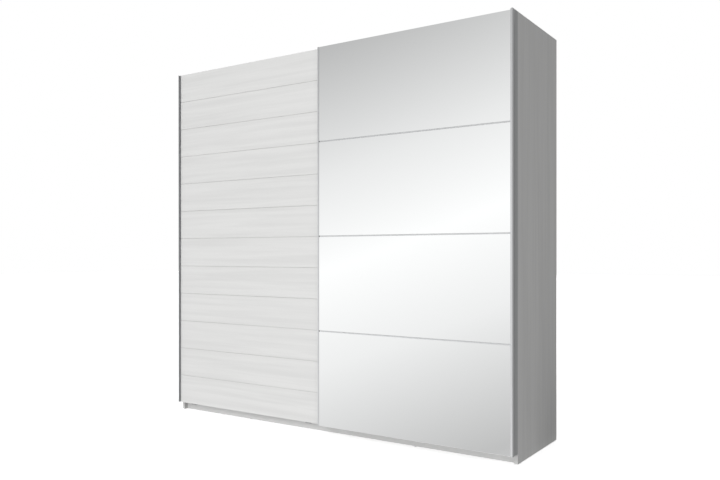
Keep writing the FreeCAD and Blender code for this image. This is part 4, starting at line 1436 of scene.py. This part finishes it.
@dataclass
class Studio:
    """A light table for a floor, a soft surround and one broad key light, seen from the right."""

    floor_size: float = 60.0
    floor_glow: float = 0.6
    eye: tuple[float, float, float] = (2.3684, -3.4503, 0.9771)
    turn_degrees: float = 33.625
    lens_mm: float = 36.43
    lift: float = 0.0195
    slant: float = -0.436
    band: tuple[tuple[float, float], ...] = (
        (-0.7, 0.85), (-0.5, 1.8), (-0.3, 1.4), (-0.15, 0.63), (-0.09, 0.52),
        (0.1, 0.86), (0.235, 1.0), (0.36, 0.82), (0.52, 0.5), (0.62, 0.42),
    )
    front_fade: tuple[float, float] = (0.0, -0.35)
    right_fade: tuple[float, float] = (-0.05, 0.35)
    white: float = 1.075
    shade: float = 0.27
    key_place: tuple[float, float, float] = (0.0, 0.0, 6.0)
    key_strength: float = 1.35
    key_spread_degrees: float = 40.0
    key_way: tuple[float, float, float] = (0.12, 0.7, -0.7)
    flag_middle: tuple[float, float, float] = (1.55, 0.55, -0.003)
    flag_size: tuple[float, float, float] = (0.8, 1.0, 1.0)
    fill_watts: float = 20.0
    fill_size: float = 1.6
    fill_place: tuple[float, float, float] = (3.4, -2.6, 0.35)
    fill_target: tuple[float, float, float] = (1.1, -0.1, 0.8)

    def build(self) -> None:
        """Set the floor, the light and the camera."""
        bpy.context.scene.view_settings.view_transform = "Standard"
        self.floor()
        self.surround()
        self.key_light()
        self.fill_light()
        self.camera()

    def floor(self) -> None:
        """Lay a pale light table, which glows a little and throws nothing back on the object."""
        bpy.ops.object.select_all(action="DESELECT")
        bpy.ops.mesh.primitive_plane_add(size=self.floor_size, location=(0.0, 0.0, 0.0))
        floor = bpy.context.object
        floor.name = "studio_floor"
        paint = OPAL_SHEET.material()
        shader = next(node for node in paint.node_tree.nodes if node.type == "BSDF_PRINCIPLED")
        feed(paint.node_tree, shader, {"Emission Color": WHITE, "Emission Strength": self.floor_glow})
        floor.data.materials.append(paint)
        floor.visible_diffuse = False
        floor.visible_glossy = False
        self.flag()

    def flag(self) -> None:
        """Lay a black card by the rear right foot, out of sight, to take light off that corner."""
        bpy.ops.object.select_all(action="DESELECT")
        bpy.ops.mesh.primitive_plane_add(size=1.0, location=self.flag_middle)
        card = bpy.context.object
        card.name = "studio_flag"
        bpy.ops.transform.resize(value=self.flag_size)
        card.data.materials.append(RUBBER.material())
        card.visible_camera = False
        card.visible_glossy = False
        card.visible_shadow = False

    def surround(self) -> None:
        """Light the room: a slanted bright band in front, white behind, shade on the right."""
        world = bpy.data.worlds.new("studio_surround")
        bpy.context.scene.world = world
        world.use_nodes = True
        tree = world.node_tree
        tree.nodes.clear()
        way = add_node(tree, "ShaderNodeTexCoord").outputs["Generated"]
        split = add_node(tree, "ShaderNodeSeparateXYZ", {"Vector": way})
        slanted = add_node(
            tree, "ShaderNodeMath", {0: split.outputs["X"], 1: self.slant, 2: split.outputs["Z"]},
            operation="MULTIPLY_ADD",
        )
        low, high = self.band[0][0], self.band[-1][0]
        place = add_node(
            tree, "ShaderNodeMapRange", {"Value": slanted.outputs["Value"], "From Min": low, "From Max": high}
        )
        stops = [((height - low) / (high - low), (grey, grey, grey, 1.0)) for height, grey in self.band]
        band = add_node(tree, "ShaderNodeValToRGB", {"Fac": place.outputs["Result"]}, stops=stops)
        in_front = add_node(
            tree, "ShaderNodeMapRange",
            {"Value": split.outputs["Y"], "From Min": self.front_fade[0], "From Max": self.front_fade[1]},
        )
        open_white = add_node(
            tree, "ShaderNodeMix",
            {0: in_front.outputs["Result"], 6: WHITE, 7: band.outputs["Color"]},
            data_type="RGBA",
        )
        on_right = add_node(
            tree, "ShaderNodeMapRange",
            {"Value": split.outputs["X"], "From Min": self.right_fade[0], "From Max": self.right_fade[1],
             "To Min": self.white, "To Max": self.shade},
        )
        lit = add_node(
            tree, "ShaderNodeBackground",
            {"Color": open_white.outputs[2], "Strength": on_right.outputs["Result"]},
        )
        paper = add_node(tree, "ShaderNodeBackground", {"Color": WHITE, "Strength": 1.0})
        seen = add_node(tree, "ShaderNodeLightPath").outputs["Is Camera Ray"]
        backdrop = add_node(
            tree, "ShaderNodeMixShader",
            {0: seen, 1: lit.outputs["Background"], 2: paper.outputs["Background"]},
        )
        add_node(tree, "ShaderNodeOutputWorld", {"Surface": backdrop.outputs["Shader"]})

    def key_light(self) -> None:
        """Shine a broad, soft light down from in front, kept out of the mirrors."""
        lamp = bpy.data.lights.new("key_light", "SUN")
        lamp.energy = self.key_strength
        lamp.angle = math.radians(self.key_spread_degrees)
        self.hang(lamp, self.key_place, Vector(self.key_way))

    def fill_light(self) -> None:
        """Stand a dim softbox low on the right, which lifts the side board towards its front."""
        lamp = bpy.data.lights.new("fill_softbox", "AREA")
        lamp.size = self.fill_size
        lamp.energy = self.fill_watts
        self.hang(lamp, self.fill_place, Vector(self.fill_target) - Vector(self.fill_place))

    def hang(self, lamp: bpy.types.Light, place: tuple[float, float, float], way: Vector) -> None:
        """Hang a lamp so that it lights the object and stays out of its mirrors.

        Args:
            lamp: The lamp.
            place: Where it hangs.
            way: Way it shines.
        """
        thing = bpy.data.objects.new(lamp.name, lamp)
        thing.location = place
        thing.rotation_euler = way.to_track_quat("-Z", "Y").to_euler()
        thing.visible_glossy = False
        bpy.context.scene.collection.objects.link(thing)

    def camera(self) -> None:
        """Stand the camera level at eye height to the right of the doors."""
        lens = bpy.data.cameras.new("view_from_right")
        lens.lens = self.lens_mm
        lens.shift_y = self.lift
        thing = bpy.data.objects.new("view_from_right", lens)
        thing.location = self.eye
        thing.rotation_euler = (math.radians(90.0), 0.0, math.radians(self.turn_degrees))
        bpy.context.scene.collection.objects.link(thing)
        bpy.context.scene.camera = thing


def main() -> None:
    """Build the case, the two doors and the studio, in that order."""
    logging.basicConfig(level=logging.INFO, format="%(message)s")
    Carcass().build()
    GroovedDoor().build()
    MirrorDoor().build()
    Studio().build()


if __name__ == "__main__":
    main()
